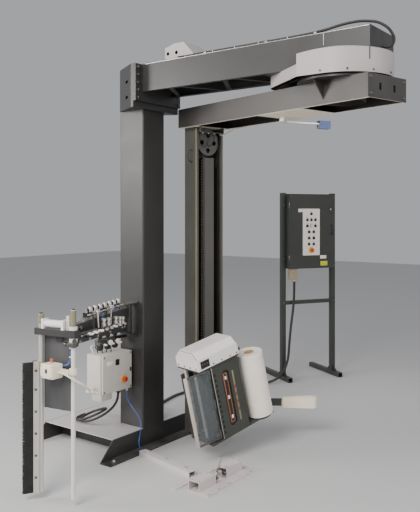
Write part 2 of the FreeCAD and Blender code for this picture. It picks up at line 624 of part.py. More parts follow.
def carriage_rollers():
    low = -CAR_DROP
    for node, (s, w, r) in ROLLERS.items():
        barrel = cylinder((s, -w, low + CAR_PLATE + 10.0), r, CAR_DROP - 2 * CAR_PLATE - 20.0)
        flat = cylinder((s + r - 4.0, -w, low + CAR_PLATE + 9.0), 3.0, 12.0)
        shaft = cylinder((s, -w, low), ROLLER_SHAFT, CAR_DROP)
        save(node, *on_carriage(cut(fuse(barrel, shaft), flat)))
    s, w = DANCER_AT
    shaft = cylinder((s, -w, low), ROLLER_SHAFT, CAR_DROP)
    arms = [car((s - 12.0, s + 12.0), (w - DANCER_REACH - 12.0, w + 14.0), (z, z + 8.0))
            for z in (low + CAR_PLATE + 8.0, -CAR_PLATE - 16.0)]
    roller = cylinder((s, -w + DANCER_REACH, low + CAR_PLATE + 14.0), 15.0, CAR_DROP - 2 * CAR_PLATE - 28.0)
    save("dancer", *on_carriage(fuse(shaft, roller, *arms)))


def film_supply():
    seat = -CAR_DROP + CAR_PLATE
    disc = cylinder((ROLL_S, -ROLL_W, seat + GAP), 88.0, 9.0)
    spindle = cylinder((ROLL_S, -ROLL_W, seat - CAR_PLATE), SHAFT_R, CAR_PLATE + 5.0)
    core = cylinder((ROLL_S, -ROLL_W, seat + GAP), ROLL_CORE - 0.1, ROLL_LENGTH - 60.0)
    save("mandrel", *on_carriage(fuse(disc, spindle, core)))
    base = seat + GAP + 9.0
    save("film_roll", *on_carriage(tube((ROLL_S, -ROLL_W, base), ROLL_R, ROLL_CORE, ROLL_LENGTH)))


def carriage_door():
    low, high = -CAR_DROP + CAR_PLATE + 8.0, -CAR_PLATE - 8.0
    sleeve = cylinder((0, 0, low), PIN_R + 4.0, high - low)
    bore = cylinder((0, 0, low - 1), PIN_R + RUN_FIT, high - low + 2)
    pane = block((0.0, DOOR_WIDTH - 22.0), (-2.0, 2.0), (low, high))
    bar = block((DOOR_WIDTH - 22.0, DOOR_WIDTH), (-11.0, 11.0), (low, high))
    leaf = cut(fuse(sleeve, pane), bore)
    hung = [placed(s, DOOR_ANGLE, (DOOR_AT[0], -DOOR_AT[1], 0)) for s in (leaf, bar)]
    save("carriage_door", *on_carriage(*hung))


def feeler():
    reach = 140.0
    eye = tube((0, 0, -30.0), FEELER_PIN + 10.0, FEELER_PIN + RUN_FIT, 60.0)
    bracket = cut(block((0.0, reach + 18.0), (-3.0, 3.0), (-30.0, 30.0)),
                  cylinder((0, 0, -31), FEELER_PIN + 5.0, 62.0))
    near, far = 12.0, 34.0
    loop = belt(reach + 34.0, near, 440.0 - far, far, 4.0, -42.0, 42.0)
    clamp = block((reach - 10.0, reach + 18.0), (3.0, 12.0), (-26.0, 26.0))
    solids = [fuse(eye, bracket), clamp, loop]
    save("feeler", *on_arm(*[placed(s, FEELER_TURN, FEELER_AT) for s in solids]))


# ---- wiper ------------------------------------------------------------------------------------------
def bar_between(a, b, half, z0, z1, start=0.0, stop=0.0):
    """Straight bar in plan from a to b, its ends moved outward by start and stop."""
    d = V(b[0] - a[0], b[1] - a[1], 0)
    length = d.Length
    turn = math.degrees(math.atan2(d.y, d.x))
    return placed(block((-start, length + stop), around(0, half), (z0, z1)), turn, (a[0], a[1], 0))


def wiper_mount():
    face = -FACE
    x = around(PIVOT[0], 45.0)
    solids = [block(x, (face - 10.0, face), (WIPER_LOW - 30.0, WIPER_HIGH + 20.0)),
              cylinder((PIVOT[0], PIVOT[1], WIPER_LOW), PIVOT_R, WIPER_HIGH - WIPER_LOW)]
    for z in (WIPER_LOW - 10.0, WIPER_HIGH):
        solids.append(block(x, (PIVOT[1] - 35.0, face - 10.0), (z, z + 10.0)))
    save("wiper_mount", *solids)


def wiper_arm():
    hub = tube((PIVOT[0], PIVOT[1], WIPER_LOW + 2.0), 34.0, PIVOT_R + RUN_FIT, WIPER_HIGH - WIPER_LOW - 4.0)
    clear = cylinder((PIVOT[0], PIVOT[1], WIPER_LOW), 34.0, WIPER_HIGH - WIPER_LOW)
    rear = cut(bar_between(PIVOT, RAIL_END, 24.0, RAIL_LOW, BEAM_HIGH), clear)
    d = V(ROD_NEAR[0] - PIVOT[0], ROD_NEAR[1] - PIVOT[1], 0)
    length, turn = d.Length, math.degrees(math.atan2(d.y, d.x))
    far = length - 27.0
    profile = [(0, 0, 905.0), (0, 0, 1000.0), (far, 0, 1075.0), (far, 0, 1010.0), (420.0, 0, 960.0)]
    front = cut(placed(prism(profile, (0, 8.0, 0)), turn, (PIVOT[0], PIVOT[1], 0)), clear)
    beam = cut(bar_between(ROD_FAR, ROD_NEAR, 26.0, BEAM_LOW, BEAM_HIGH, 34.0, 30.0),
               cylinder((*ROD_NEAR, 1000.0), ROD_R, 200.0), cylinder((*ROD_FAR, 1000.0), FAR_ROD_R, 200.0))
    beam = cut(beam, rear, front)
    save("wiper_arm", hub, rear, front, beam)


def wiper_rod():
    x, y = ROD_NEAR
    rod = cylinder((x, y, BRUSH_BOTTOM), ROD_R, 1180.0)
    collars = [tube((x, y, z), 26.0, ROD_R, 22.0) for z in (1030.0, 1104.0)]
    save("wiper_rod", rod, *collars)


def brush_parts():
    x, y = ROD_FAR
    turn = math.degrees(math.atan2(-102.0, -57.0))
    post = cylinder((x, y, BRUSH_BOTTOM), FAR_ROD_R, 1140.0)
    channel = cut(block((FAR_ROD_R - 2.0, 52.0), (-22.0, 22.0), (BRUSH_BOTTOM, BRUSH_TOP)),
                  block((26.0, 53.0), (-14.0, 14.0), (BRUSH_BOTTOM - 1, BRUSH_TOP + 1)),
                  cylinder((0, 0, 0), FAR_ROD_R, 2000.0))
    save("brush_holder", post, placed(channel, turn, (x, y, 0)))
    bristles = block((26.0, BRUSH_REACH), (-14.0, 14.0), (BRUSH_BOTTOM, BRUSH_TOP - 6.0))
    save("brush", placed(bristles, turn, (x, y, 0)))
    sheet = placed(bar_between(ROD_FAR, ROD_NEAR, 2.0, 585.0, BEAM_LOW, -6.0, -20.0), 0.0, (0, 22.0, 0))
    save("curtain", cut(sheet, bar_between(PIVOT, RAIL_END, 26.0, RAIL_LOW - 2.0, BEAM_HIGH + 2.0)))


def valve_bank():
    d = V(RAIL_END[0] - PIVOT[0], RAIL_END[1] - PIVOT[1], 0)
    turn = math.degrees(math.atan2(d.y, d.x))
    rail = block((110.0, 760.0), (-18.0, 18.0), (BEAM_HIGH, 1122.0))
    valves = [block((130.0 + i * 78.0, 178.0 + i * 78.0), (-16.0, 16.0), (1122.0, 1152.0)) for i in range(8)]
    solids = [placed(s, turn, (PIVOT[0], PIVOT[1], 0)) for s in [rail] + valves]
    e = V(ROD_NEAR[0] - ROD_FAR[0], ROD_NEAR[1] - ROD_FAR[1], 0)
    turn = math.degrees(math.atan2(e.y, e.x))
    barrel = cylinder((42.0, 0, 1132.0), 24.0, 142.0, (1, 0, 0))
    heads = [block((x, x + 18.0), (-27.0, 27.0), (1100.0, 1162.0)) for x in (24.0, 184.0)]
    plate = plan([(208.0, -4.0), (232.0, -4.0), (232.0, 4.0), (208.0, 4.0)], 1100.0, 1190.0)
    solids += [placed(s, turn, (ROD_FAR[0], ROD_FAR[1], 0)) for s in [barrel, plate] + heads]
    save("valve_bank", *solids)


def sealer_box():
    x, y = ROD_NEAR
    body = block((x - 186.0, x - 74.0), around(y - 62.0, 44.0), (800.0, 890.0))
    body = body.makeFillet(8.0, body.Edges)
    arm_piece = block((x - 74.0, x - 6.0), (y - 42.0, y - 20.0), (832.0, 858.0))
    ring = tube((x, y, 826.0), ROD_R + 12.0, ROD_R, 38.0)
    save("sealer_box", body, fuse(arm_piece, ring))


# ---- junction box and air supply ------------------------------------------------------------------
def junction_box():
    t = BOX_T
    front = BOX_X[1] - LID_T
    case = cut(block((BOX_X[0], front), BOX_Y, BOX_Z),
               block((BOX_X[0] + t, front + 1), (BOX_Y[0] + t, BOX_Y[1] - t), (BOX_Z[0] + t, BOX_Z[1] - t)))
    brackets = [block((-110.0, -30.0), (BOX_Y[1], -FACE), (z, z + 40.0)) for z in (500.0, 670.0)]
    terminal = block((BOX_X[0] + t, BOX_X[0] + 40.0), (BOX_Y[0] + 63.0, BOX_Y[0] + 243.0), (520.0, 690.0))
    glands = [cylinder((x, y, BOX_Z[0] - 28.0), r + 6.0, 28.0)
              for (x, y, z), r in ((HOSE[0], HOSE_R), (AIR[0], AIR_R))]
    side = cylinder(SPIRAL[-1], SPIRAL_R + 6.0, BOX_Y[0] - SPIRAL[-1][1], (0, 1, 0))
    hinge = cylinder((front - 6.0, BOX_Y[0] - PIN_R, BOX_Z[0]), PIN_R, BOX_Z[1] - BOX_Z[0])
    save("junction_box", case, *brackets, terminal, *glands, side, hinge)
    hole = cylinder((front - 1, *ESTOP_AT), ESTOP_STEM + RUN_FIT, LID_T + 12.0, (1, 0, 0))
    lid = cut(block((front + GAP, BOX_X[1]), BOX_Y, BOX_Z),
              block((front, front + LID_T - 2.0), (BOX_Y[0] + t, BOX_Y[1] - t), (BOX_Z[0] + t, BOX_Z[1] - t)))
    window = block((BOX_X[1], BOX_X[1] + 3.0), (BOX_Y[0] + 133.0, BOX_Y[0] + 173.0), (660.0, 705.0))
    guard = cylinder((BOX_X[1], *ESTOP_AT), 30.0, 3.0, (1, 0, 0))
    save("box_door", cut(fuse(lid, window, guard), hole))
    stem = cylinder((front + 4.0, *ESTOP_AT), ESTOP_STEM, LID_T + 16.0, (1, 0, 0))
    head = cylinder((BOX_X[1] + 16.0, *ESTOP_AT), 20.0, 14.0, (1, 0, 0))
    head = head.makeFillet(5.0, head.Edges[0])
    save("box_estop", fuse(stem, head))


def air_unit():
    bar = block((-92.0, -56.0), (-FACE - 313.0, -FACE), (842.0, 866.0))
    solids = [bar]
    for out in (273.0, 193.0, 113.0):
        solids.append(cylinder((-74.0, -FACE - out, 772.0), 26.0, 70.0))
    small = block((-110.0, -10.0), (BOX_Y[0] + 13.0, BOX_Y[0] + 133.0), (BOX_Z[0] - 62.0, BOX_Z[0]))
    save("air_unit", *solids, small)


# ---- floor clamp ----------------------------------------------------------------------------------
def floor_clamp():
    t = CLAMP_PLATE
    plate = block((CLAMP_X[0] - 10.0, CLAMP_X[1]), CLAMP_Y, (0.0, t))
    solids = [plate]
    for y in ((CLAMP_Y[0] + 10.0, -392.0), (-268.0, CLAMP_Y[1] - 30.0)):
        shell = cut(block((CLAMP_X[0], CLAMP_X[0] + 88.0), y, (t, 70.0)),
                    block((CLAMP_X[0] + 3.0, CLAMP_X[0] + 85.0), (y[0] - 1, y[1] + 1), (t - 1, 67.0)))
        solids.append(shell)
    solids.append(block((CLAMP_X[0], CLAMP_X[0] + 26.0), (-392.0, -268.0), (64.0, 70.0)))
    x, z = CLAMP_PIVOT
    solids.append(cylinder((x, -392.0, z), PIN_R, 124.0, (0, 1, 0)))
    for y in (-376.0, -296.0):
        ear = block(around(x, 14.0), (y, y + 10.0), (t, z + 16.0))
        solids.append(cut(ear, cylinder((x, y - 1, z), PIN_R, 12.0, (0, 1, 0))))
    solids.append(block((820.0, 870.0), (-635.0, -95.0), (0.0, 5.0)))
    solids.append(block((870.0, CLAMP_X[0] - 10.0), (-400.0, -350.0), (0.0, 5.0)))
    save("clamp_base", *solids)
    hub = cut(cylinder((0, -20.0, 0), 14.0, 40.0, (0, 1, 0)),
              cylinder((0, -21.0, 0), PIN_R + RUN_FIT, 42.0, (0, 1, 0)))
    stick = block((10.0, 135.0), (-9.0, 9.0), (-5.0, 5.0))
    pad = cylinder((132.0, -26.0, 0), 9.0, 52.0, (0, 1, 0))
    lever = fuse(hub, stick, pad)
    lever.Placement = FreeCAD.Placement(V(x, CLAMP_LEVER_Y, z), FreeCAD.Rotation(V(0, 1, 0), -72.0))
    save("clamp_lever", lever)
    start, stop = (FACE + BEAM_T + FLANGE_W + 7.0, -262.0), (813.3, -376.7)
    duct = bar_between(start, stop, DUCT_W / 2.0, 0.0, DUCT_H)
    hollow = bar_between(start, stop, DUCT_W / 2.0 - 3.0, -1.0, DUCT_H - 3.0, 1.0, 1.0)
    run = V(stop[0] - start[0], stop[1] - start[1], 0)
    heads = [V(start[0], start[1], DUCT_H) + run * f for f in (0.12, 0.5, 0.88)]
    screws = [cylinder(head, 8.0, 4.0) for head in heads]
    save("hose_cover", cut(duct, hollow), *screws)


# ---- console --------------------------------------------------------------------------------------
def console_stand():
    half = LEG / 2.0
    solids = []
    for x in (-LEG_X, LEG_X):
        solids.append(cut(block(around(x, half), around(0, half), (LEG, LEG_TOP)),
                          block(around(x, half - LEG_WALL), around(0, half - LEG_WALL),
                                (LEG, LEG_TOP - LEG_WALL))))
        hollow = block(around(x, half - LEG_WALL), (-FOOT_FRONT - 1, FOOT_BACK + 1),
                       (LEG_WALL, LEG - LEG_WALL))
        solids.append(cut(block(around(x, half), (-FOOT_FRONT, FOOT_BACK), (0.0, LEG)), hollow))
        for side in (-1.0, 1.0):
            solids.append(prism([(x - 3.0, side * half, LEG), (x - 3.0, side * (half + 70.0), LEG),
                                 (x - 3.0, side * half, LEG + 70.0)], (6.0, 0, 0)))
    for z in (825.0, LEG_TOP - LEG):
        solids.append(block((-LEG_X + half, LEG_X - half), around(0, 20.0), (z, z + 40.0)))
    save("console_stand", *on_console(*solids))


def operators():
    """Centres of the console's lamps, selectors and buttons on the door, as x and z."""
    def row(i, *xs):
        return [(ROW_MID + x, ROW_TOP - i * ROW_STEP) for x in xs]

    return {"lamps": row(0, 0.0) + row(1, -52.0, 0.0, 52.0) + row(2, 0.0) + row(5, -30.0, 30.0),
            "selectors": row(2, -52.0, 52.0), "buttons": row(3, -30.0, 30.0) + row(4, -30.0, 30.0),
            "estop": row(6, 0.0)}


def console_cabinet():
    t = CABINET_T
    front = CABINET_Y[0] + DOOR_T
    case = cut(block(around(0, CABINET_HALF), (front, CABINET_Y[1]), CABINET_Z),
               block(around(0, CABINET_HALF - t), (front - 1, CABINET_Y[1] - t),
                     (CABINET_Z[0] + t, CABINET_Z[1] - t)),
               block(around(0, LEG_X), around(0, 20.5), (LEG_TOP - LEG - 0.5, LEG_TOP)))
    side = [block(sorted((s * CABINET_HALF, s * (LEG_X - LEG / 2.0))), (-20.0, 20.0), (z, z + 50.0))
            for s in (-1.0, 1.0) for z in (1300.0, 1900.0)]
    inside = block(around(0, 230.0), (CABINET_Y[1] - t - 40.0, CABINET_Y[1] - t), (1300.0, 1950.0))
    gx, gy = -224.0, -54.0
    gland = block(around(gx, 40.0), around(gy, 34.0), (CONDUIT[0][2], CABINET_Z[0]))
    pin = cylinder((-CABINET_HALF - PIN_R - 0.5, front, CABINET_Z[0] + 30.0), PIN_R,
                   CABINET_Z[1] - CABINET_Z[0] - 60.0)
    save("console_cabinet", *on_console(case, *side, inside, gland, pin))


def console_door():
    ops = operators()
    face = CABINET_Y[0]
    leaf = block(around(0, CABINET_HALF), (face, face + DOOR_T - GAP), CABINET_Z)
    plate = block(PLATE_X, (face - PLATE_T, face), PLATE_Z)
    tools = []
    for x, z in ops["selectors"] + ops["buttons"]:
        tools.append(cylinder((x, face - 10, z), BUTTON_R + BUTTON_FIT, 30.0, (0, 1, 0)))
    for x, z in ops["estop"]:
        tools.append(cylinder((x, face - 10, z), ESTOP_STEM + BUTTON_FIT, 30.0, (0, 1, 0)))
    lamps = [cylinder((x, face - PLATE_T - 9.0, z), 12.0, 9.0, (0, 1, 0)) for x, z in ops["lamps"]]
    lock = cylinder((230.0, face - 8.0, 1880.0), 10.0, 8.0, (0, 1, 0))
    save("console_door", *on_console(cut(leaf, *tools), cut(plate, *tools), *lamps, lock))
    front = face - PLATE_T - BUTTON_OUT
    for i, (x, z) in enumerate(ops["buttons"]):
        cap = cylinder((x, front, z), BUTTON_R, BUTTON_OUT + PLATE_T + DOOR_T + 8.0, (0, 1, 0))
        save("push_button_%d" % (i + 1), *on_console(cap))
    for i, (x, z) in enumerate(ops["selectors"]):
        knob = fuse(cylinder((x, front + 4.0, z), BUTTON_R, BUTTON_OUT + PLATE_T + DOOR_T, (0, 1, 0)),
                    block(around(x, 4.0), (front - 8.0, front + 4.0), around(z, 12.0)))
        save("selector_%d" % (i + 1), *on_console(knob))
    x, z = ops["estop"][0]
    stem = cylinder((x, front - 2.0, z), ESTOP_STEM, BUTTON_OUT + PLATE_T + DOOR_T + 10.0, (0, 1, 0))
    head = cylinder((x, front - 14.0, z), 20.0, 14.0, (0, 1, 0))
    save("console_estop", *on_console(fuse(stem, head)))


base_frame()
deck_plate()
column()
boom()
frame_bolts()
cable_hood()
slewing_drive()
drive_guard()
arm()
mast()
lift_drive()
photo_eye()
carriage_frame()
carriage_cover()
carriage_panel()
carriage_rollers()
film_supply()
carriage_door()
feeler()
wiper_mount()
wiper_arm()
wiper_rod()
brush_parts()
valve_bank()
sealer_box()
junction_box()
air_unit()
floor_clamp()
console_stand()
console_cabinet()
console_door()
save("console_conduit", cord(CONDUIT, CONDUIT_R))
save("junction_hose", cord(HOSE, HOSE_R))
save("air_hose", cord(AIR, AIR_R))
save("spiral_cable", cord(SPIRAL, SPIRAL_R))
save("boom_conduit", cord(LOOM, LOOM_R))
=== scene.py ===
"""Looks of the rotary-arm pallet wrapper: finishes, detail pieces, cords, light and camera."""
from __future__ import annotations

import json
import logging
import math
import random
from dataclasses import dataclass
from enum import Enum
from typing import Callable, Iterable, Sequence

import bpy
from mathutils import Matrix, Vector

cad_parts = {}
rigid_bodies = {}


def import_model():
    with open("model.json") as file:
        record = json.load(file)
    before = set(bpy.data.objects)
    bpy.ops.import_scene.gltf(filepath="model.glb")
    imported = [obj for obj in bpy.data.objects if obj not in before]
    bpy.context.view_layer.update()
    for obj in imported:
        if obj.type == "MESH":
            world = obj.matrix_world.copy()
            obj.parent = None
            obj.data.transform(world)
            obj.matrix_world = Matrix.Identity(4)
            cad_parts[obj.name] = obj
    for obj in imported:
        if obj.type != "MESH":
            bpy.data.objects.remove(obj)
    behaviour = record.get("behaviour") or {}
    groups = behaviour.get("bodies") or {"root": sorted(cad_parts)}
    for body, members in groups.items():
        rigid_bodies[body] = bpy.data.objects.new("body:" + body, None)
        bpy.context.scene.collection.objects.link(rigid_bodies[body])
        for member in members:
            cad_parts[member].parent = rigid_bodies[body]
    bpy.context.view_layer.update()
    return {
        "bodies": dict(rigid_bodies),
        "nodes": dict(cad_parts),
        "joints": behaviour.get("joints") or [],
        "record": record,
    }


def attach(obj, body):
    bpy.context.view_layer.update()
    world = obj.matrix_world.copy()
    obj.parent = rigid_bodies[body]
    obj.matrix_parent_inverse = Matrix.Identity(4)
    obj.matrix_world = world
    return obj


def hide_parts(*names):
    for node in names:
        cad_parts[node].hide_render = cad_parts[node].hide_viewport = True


log = logging.getLogger("wrapper")
Colour = tuple[float, float, float]
Point = tuple[float, float, float]
WELD = 0.00001
DUST = (0.55, 0.52, 0.48, 1)
SIDES = ((-1, "left"), (1, "right"))


# ---- shared shader groups -------------------------------------------------------------------------
class Graph:
    """Small helper that adds and links nodes in one node tree."""

    def __init__(self, tree: bpy.types.NodeTree) -> None:
        """Keep the tree."""
        self.tree = tree

    def node(self, kind: str, **values: object) -> bpy.types.Node:
        """Add a node and set its attributes.

        Args:
            kind: the node's type name.
            values: attributes of the node.

        Returns:
            The new node.
        """
        made = self.tree.nodes.new(kind)
        for name, value in values.items():
            setattr(made, name, value)
        return made

    def link(self, out: bpy.types.NodeSocket, into: bpy.types.NodeSocket) -> None:
        """Join two sockets."""
        self.tree.links.new(out, into)

    def math(self, operation: str, a: object, b: object = 0.0) -> bpy.types.NodeSocket:
        """Add a math node whose inputs are sockets or numbers.

        Args:
            operation: the math operation.
            a: first input.
            b: second input.

        Returns:
            The node's output.
        """
        made = self.node("ShaderNodeMath", operation=operation)
        for socket, value in zip(made.inputs, (a, b)):
            self.feed(value, socket)
        return made.outputs[0]

    def feed(self, value: object, socket: bpy.types.NodeSocket) -> None:
        """Link a socket into another one, or set a number or a colour as its value."""
        if isinstance(value, bpy.types.NodeSocket):
            self.link(value, socket)
        else:
            socket.default_value = value

    def noise(self, vector: bpy.types.NodeSocket, scale: object, detail: float) -> bpy.types.Node:
        """Add a noise texture.

        Args:
            vector: where it is looked up.
            scale: its scale, a socket or a number.
            detail: its detail.

        Returns:
            The new node.
        """
        made = self.node("ShaderNodeTexNoise")
        made.inputs["Detail"].default_value = detail
        self.link(vector, made.inputs["Vector"])
        self.feed(scale, made.inputs["Scale"])
        return made

    def blend(self, factor: object, low: object, high: object) -> bpy.types.NodeSocket:
        """Mix two colours by a factor and return the mixed colour."""
        made = self.node("ShaderNodeMix", data_type="RGBA")
        for label, value in (("Factor", factor), ("A", low), ("B", high)):
            self.feed(value, made.inputs[label])
        return made.outputs["Result"]

    def group(self, tree: bpy.types.NodeTree, **values: object) -> bpy.types.Node:
        """Add a shader group and set its inputs by name."""
        made = self.node("ShaderNodeGroup", node_tree=tree)
        for label, value in values.items():
            made.inputs[label].default_value = value
        return made


def shader_group(name: str, inputs: Sequence[tuple[str, str, object]],
                 outputs: Sequence[tuple[str, str]]) -> tuple[bpy.types.NodeTree, Graph,
                                                             bpy.types.Node, bpy.types.Node]:
    """Start a shader node group with named sockets.

    Args:
        name: the group's name.
        inputs: name, socket type and default of each input.
        outputs: name and socket type of each output.

    Returns:
        The tree, its helper, and its input and output nodes.
    """
    tree = bpy.data.node_groups.new(name, "ShaderNodeTree")
    for label, kind, default in inputs:
        made = tree.interface.new_socket(name=label, in_out="INPUT", socket_type=kind)
        made.default_value = default
    for label, kind in outputs:
        tree.interface.new_socket(name=label, in_out="OUTPUT", socket_type=kind)
    graph = Graph(tree)
    return tree, graph, graph.node("NodeGroupInput"), graph.node("NodeGroupOutput")


def weathered_group() -> bpy.types.NodeTree:
    """Blotches, fine grain and dust on upward faces, for every painted or moulded finish.

    Returns:
        The group, which puts out a colour, a roughness and a height.
    """
    tree, g, given, out = shader_group(
        "weathered",
        [("Base", "NodeSocketColor", (0.5, 0.5, 0.5, 1)), ("Worn", "NodeSocketColor", (0.6, 0.6, 0.6, 1)),
         ("Dust", "NodeSocketFloat", 0.2), ("Grain", "NodeSocketFloat", 300.0),
         ("Blotch", "NodeSocketFloat", 3.0), ("Rough", "NodeSocketFloat", 0.5)],
        [("Color", "NodeSocketColor"), ("Roughness", "NodeSocketFloat"), ("Height", "NodeSocketFloat")])
    place = g.node("ShaderNodeTexCoord").outputs["Object"]
    grain = g.noise(place, given.outputs["Grain"], 3.0)
    blotch = g.noise(place, given.outputs["Blotch"], 5.0)
    blotch.inputs["Roughness"].default_value = 0.6
    spread = g.node("ShaderNodeMapRange")
    spread.inputs["From Min"].default_value = 0.38
    spread.inputs["From Max"].default_value = 0.72
    g.link(blotch.outputs["Fac"], spread.inputs["Value"])
    share = g.math("MULTIPLY", spread.outputs["Result"], 0.55)
    worn = g.blend(share, given.outputs["Base"], given.outputs["Worn"])
    facing = g.node("ShaderNodeNewGeometry")
    parts = g.node("ShaderNodeSeparateXYZ")
    g.link(facing.outputs["Normal"], parts.inputs[0])
    upward = g.math("MAXIMUM", parts.outputs["Z"], 0.0)
    amount = g.math("MULTIPLY", g.math("MULTIPLY", upward, given.outputs["Dust"]), spread.outputs["Result"])
    g.link(g.blend(amount, worn, DUST), out.inputs["Color"])
    uneven = g.math("MULTIPLY", g.math("SUBTRACT", blotch.outputs["Fac"], 0.5), 0.25)
    g.link(g.math("ADD", given.outputs["Rough"], uneven), out.inputs["Roughness"])
    g.link(grain.outputs["Fac"], out.inputs["Height"])
    return tree


def brushed_group() -> bpy.types.NodeTree:
    """Fine parallel scratches along one axis, for bare and plated metal.

    Returns:
        The group, which puts out a colour, a roughness and a height.
    """
    tree, g, given, out = shader_group(
        "brushed",
        [("Base", "NodeSocketColor", (0.7, 0.7, 0.7, 1)), ("Scratch", "NodeSocketFloat", 260.0),
         ("Rough", "NodeSocketFloat", 0.35)],
        [("Color", "NodeSocketColor"), ("Roughness", "NodeSocketFloat"), ("Height", "NodeSocketFloat")])
    stretch = g.node("ShaderNodeMapping")
    stretch.inputs["Scale"].default_value = (1.0, 1.0, 0.04)
    g.link(g.node("ShaderNodeTexCoord").outputs["Object"], stretch.inputs["Vector"])
    lines = g.noise(stretch.outputs["Vector"], given.outputs["Scratch"], 4.0)
    shade = g.node("ShaderNodeMapRange")
    shade.inputs["To Min"].default_value = 0.78
    shade.inputs["To Max"].default_value = 1.12
    g.link(lines.outputs["Fac"], shade.inputs["Value"])
    tint = g.node("ShaderNodeVectorMath", operation="SCALE")
    g.link(given.outputs["Base"], tint.inputs[0])
    g.link(shade.outputs["Result"], tint.inputs["Scale"])
    g.link(tint.outputs["Vector"], out.inputs["Color"])
    uneven = g.math("MULTIPLY", g.math("SUBTRACT", lines.outputs["Fac"], 0.5), 0.3)
    g.link(g.math("ADD", given.outputs["Rough"], uneven), out.inputs["Roughness"])
    g.link(lines.outputs["Fac"], out.inputs["Height"])
    return tree


class Groups:
    """The shader groups, built once and shared by the finishes."""

    weathered: bpy.types.NodeTree
    brushed: bpy.types.NodeTree

    @classmethod
    def build(cls) -> None:
        """Build every group."""
        cls.weathered = weathered_group()
        cls.brushed = brushed_group()


# ---- finishes ---------------------------------------------------------------------------------------
def new_material(name: str) -> tuple[bpy.types.Material, Graph, bpy.types.Node]:
    """Start a node material.

    Args:
        name: the material's name.

    Returns:
        The material, its graph helper and its Principled BSDF.
    """
    made = bpy.data.materials.new(name)
    made.use_nodes = True
    return made, Graph(made.node_tree), made.node_tree.nodes["Principled BSDF"]


def add_bump(g: Graph, height: bpy.types.NodeSocket, shader: bpy.types.Node, depth: float) -> None:
    """Feed a height into the shader's normal.

    Args:
        g: the material's graph.
        height: where the height comes from.
        shader: the Principled BSDF.
        depth: bump distance in metres.
    """
    bump = g.node("ShaderNodeBump")
    bump.inputs["Distance"].default_value = depth
    bump.inputs["Strength"].default_value = 0.6
    g.link(height, bump.inputs["Height"])
    g.link(bump.outputs["Normal"], shader.inputs["Normal"])


@dataclass(frozen=True)
class Painted:
    """Paint, powder coat or moulded plastic with blotches, grain and dust."""

    name: str
    base: Colour
    worn: Colour
    rough: float = 0.45
    dust: float = 0.15
    grain: float = 420.0
    blotch: float = 3.0
    depth: float = 0.0002
    coat: float = 0.0
    metallic: float = 0.0

    def build(self) -> bpy.types.Material:
        """Make the material."""
        made, g, shader = new_material(self.name)
        group = g.group(Groups.weathered, Base=(*self.base, 1), Worn=(*self.worn, 1), Dust=self.dust,
                        Grain=self.grain, Blotch=self.blotch, Rough=self.rough)
        g.link(group.outputs["Color"], shader.inputs["Base Color"])
        g.link(group.outputs["Roughness"], shader.inputs["Roughness"])
        shader.inputs["Coat Weight"].default_value = self.coat
        shader.inputs["Metallic"].default_value = self.metallic
        add_bump(g, group.outputs["Height"], shader, self.depth)
        return made


@dataclass(frozen=True)
class Metal:
    """Bare or plated metal with fine scratches."""

    name: str
    base: Colour
    rough: float = 0.35
    scratch: float = 260.0
    metallic: float = 1.0

    def build(self) -> bpy.types.Material:
        """Make the material."""
        made, g, shader = new_material(self.name)
        group = g.group(Groups.brushed, Base=(*self.base, 1), Scratch=self.scratch, Rough=self.rough)
        g.link(group.outputs["Color"], shader.inputs["Base Color"])
        g.link(group.outputs["Roughness"], shader.inputs["Roughness"])
        shader.inputs["Metallic"].default_value = self.metallic
        add_bump(g, group.outputs["Height"], shader, 0.00008)
        return made


@dataclass(frozen=True)
class Tread:
    """Bright tread plate with raised lozenges in two directions."""

    name: str
    base: Colour
    pitch: float = 0.030
    metallic: float = 0.45
    depth: float = 0.0016

    def build(self) -> bpy.types.Material:
        """Make the material."""
        made, g, shader = new_material(self.name)
        place = g.node("ShaderNodeTexCoord")
        heights = []
        for turn, shift in ((45.0, 0.0), (-45.0, 0.5)):
            lay = g.node("ShaderNodeMapping")
            lay.inputs["Rotation"].default_value = (0, 0, math.radians(turn))
            lay.inputs["Scale"].default_value = (1 / self.pitch, 1 / self.pitch, 1.0)
            lay.inputs["Location"].default_value = (shift, shift, 0.0)
            g.link(place.outputs["Object"], lay.inputs["Vector"])
            parts = g.node("ShaderNodeSeparateXYZ")
            g.link(lay.outputs["Vector"], parts.inputs[0])
            across = g.math("ABSOLUTE", g.math("SUBTRACT", g.math("FRACT", parts.outputs["X"]), 0.5))
            along = g.math("ABSOLUTE", g.math("SUBTRACT", g.math("FRACT", parts.outputs["Y"]), 0.5))
            oval = g.math("ADD", g.math("MULTIPLY", across, 2.4), g.math("MULTIPLY", along, 7.5))
            heights.append(g.math("MAXIMUM", g.math("SUBTRACT", 1.0, oval), 0.0))
        raised = g.math("MINIMUM", g.math("MULTIPLY", g.math("MAXIMUM", *heights), 3.0), 1.0)
        scuff = g.noise(place.outputs["Object"], 9.0, 6.0).outputs["Fac"]
        bright = g.math("ADD", g.math("MULTIPLY", raised, 0.6), g.math("MULTIPLY", scuff, 0.5))
        dark = (*[c * 0.72 for c in self.base], 1)
        g.link(g.blend(bright, dark, (*self.base, 1)), shader.inputs["Base Color"])
        g.link(g.math("ADD", 0.28, g.math("MULTIPLY", scuff, 0.3)), shader.inputs["Roughness"])
        shader.inputs["Metallic"].default_value = self.metallic
        add_bump(g, raised, shader, self.depth)
        return made


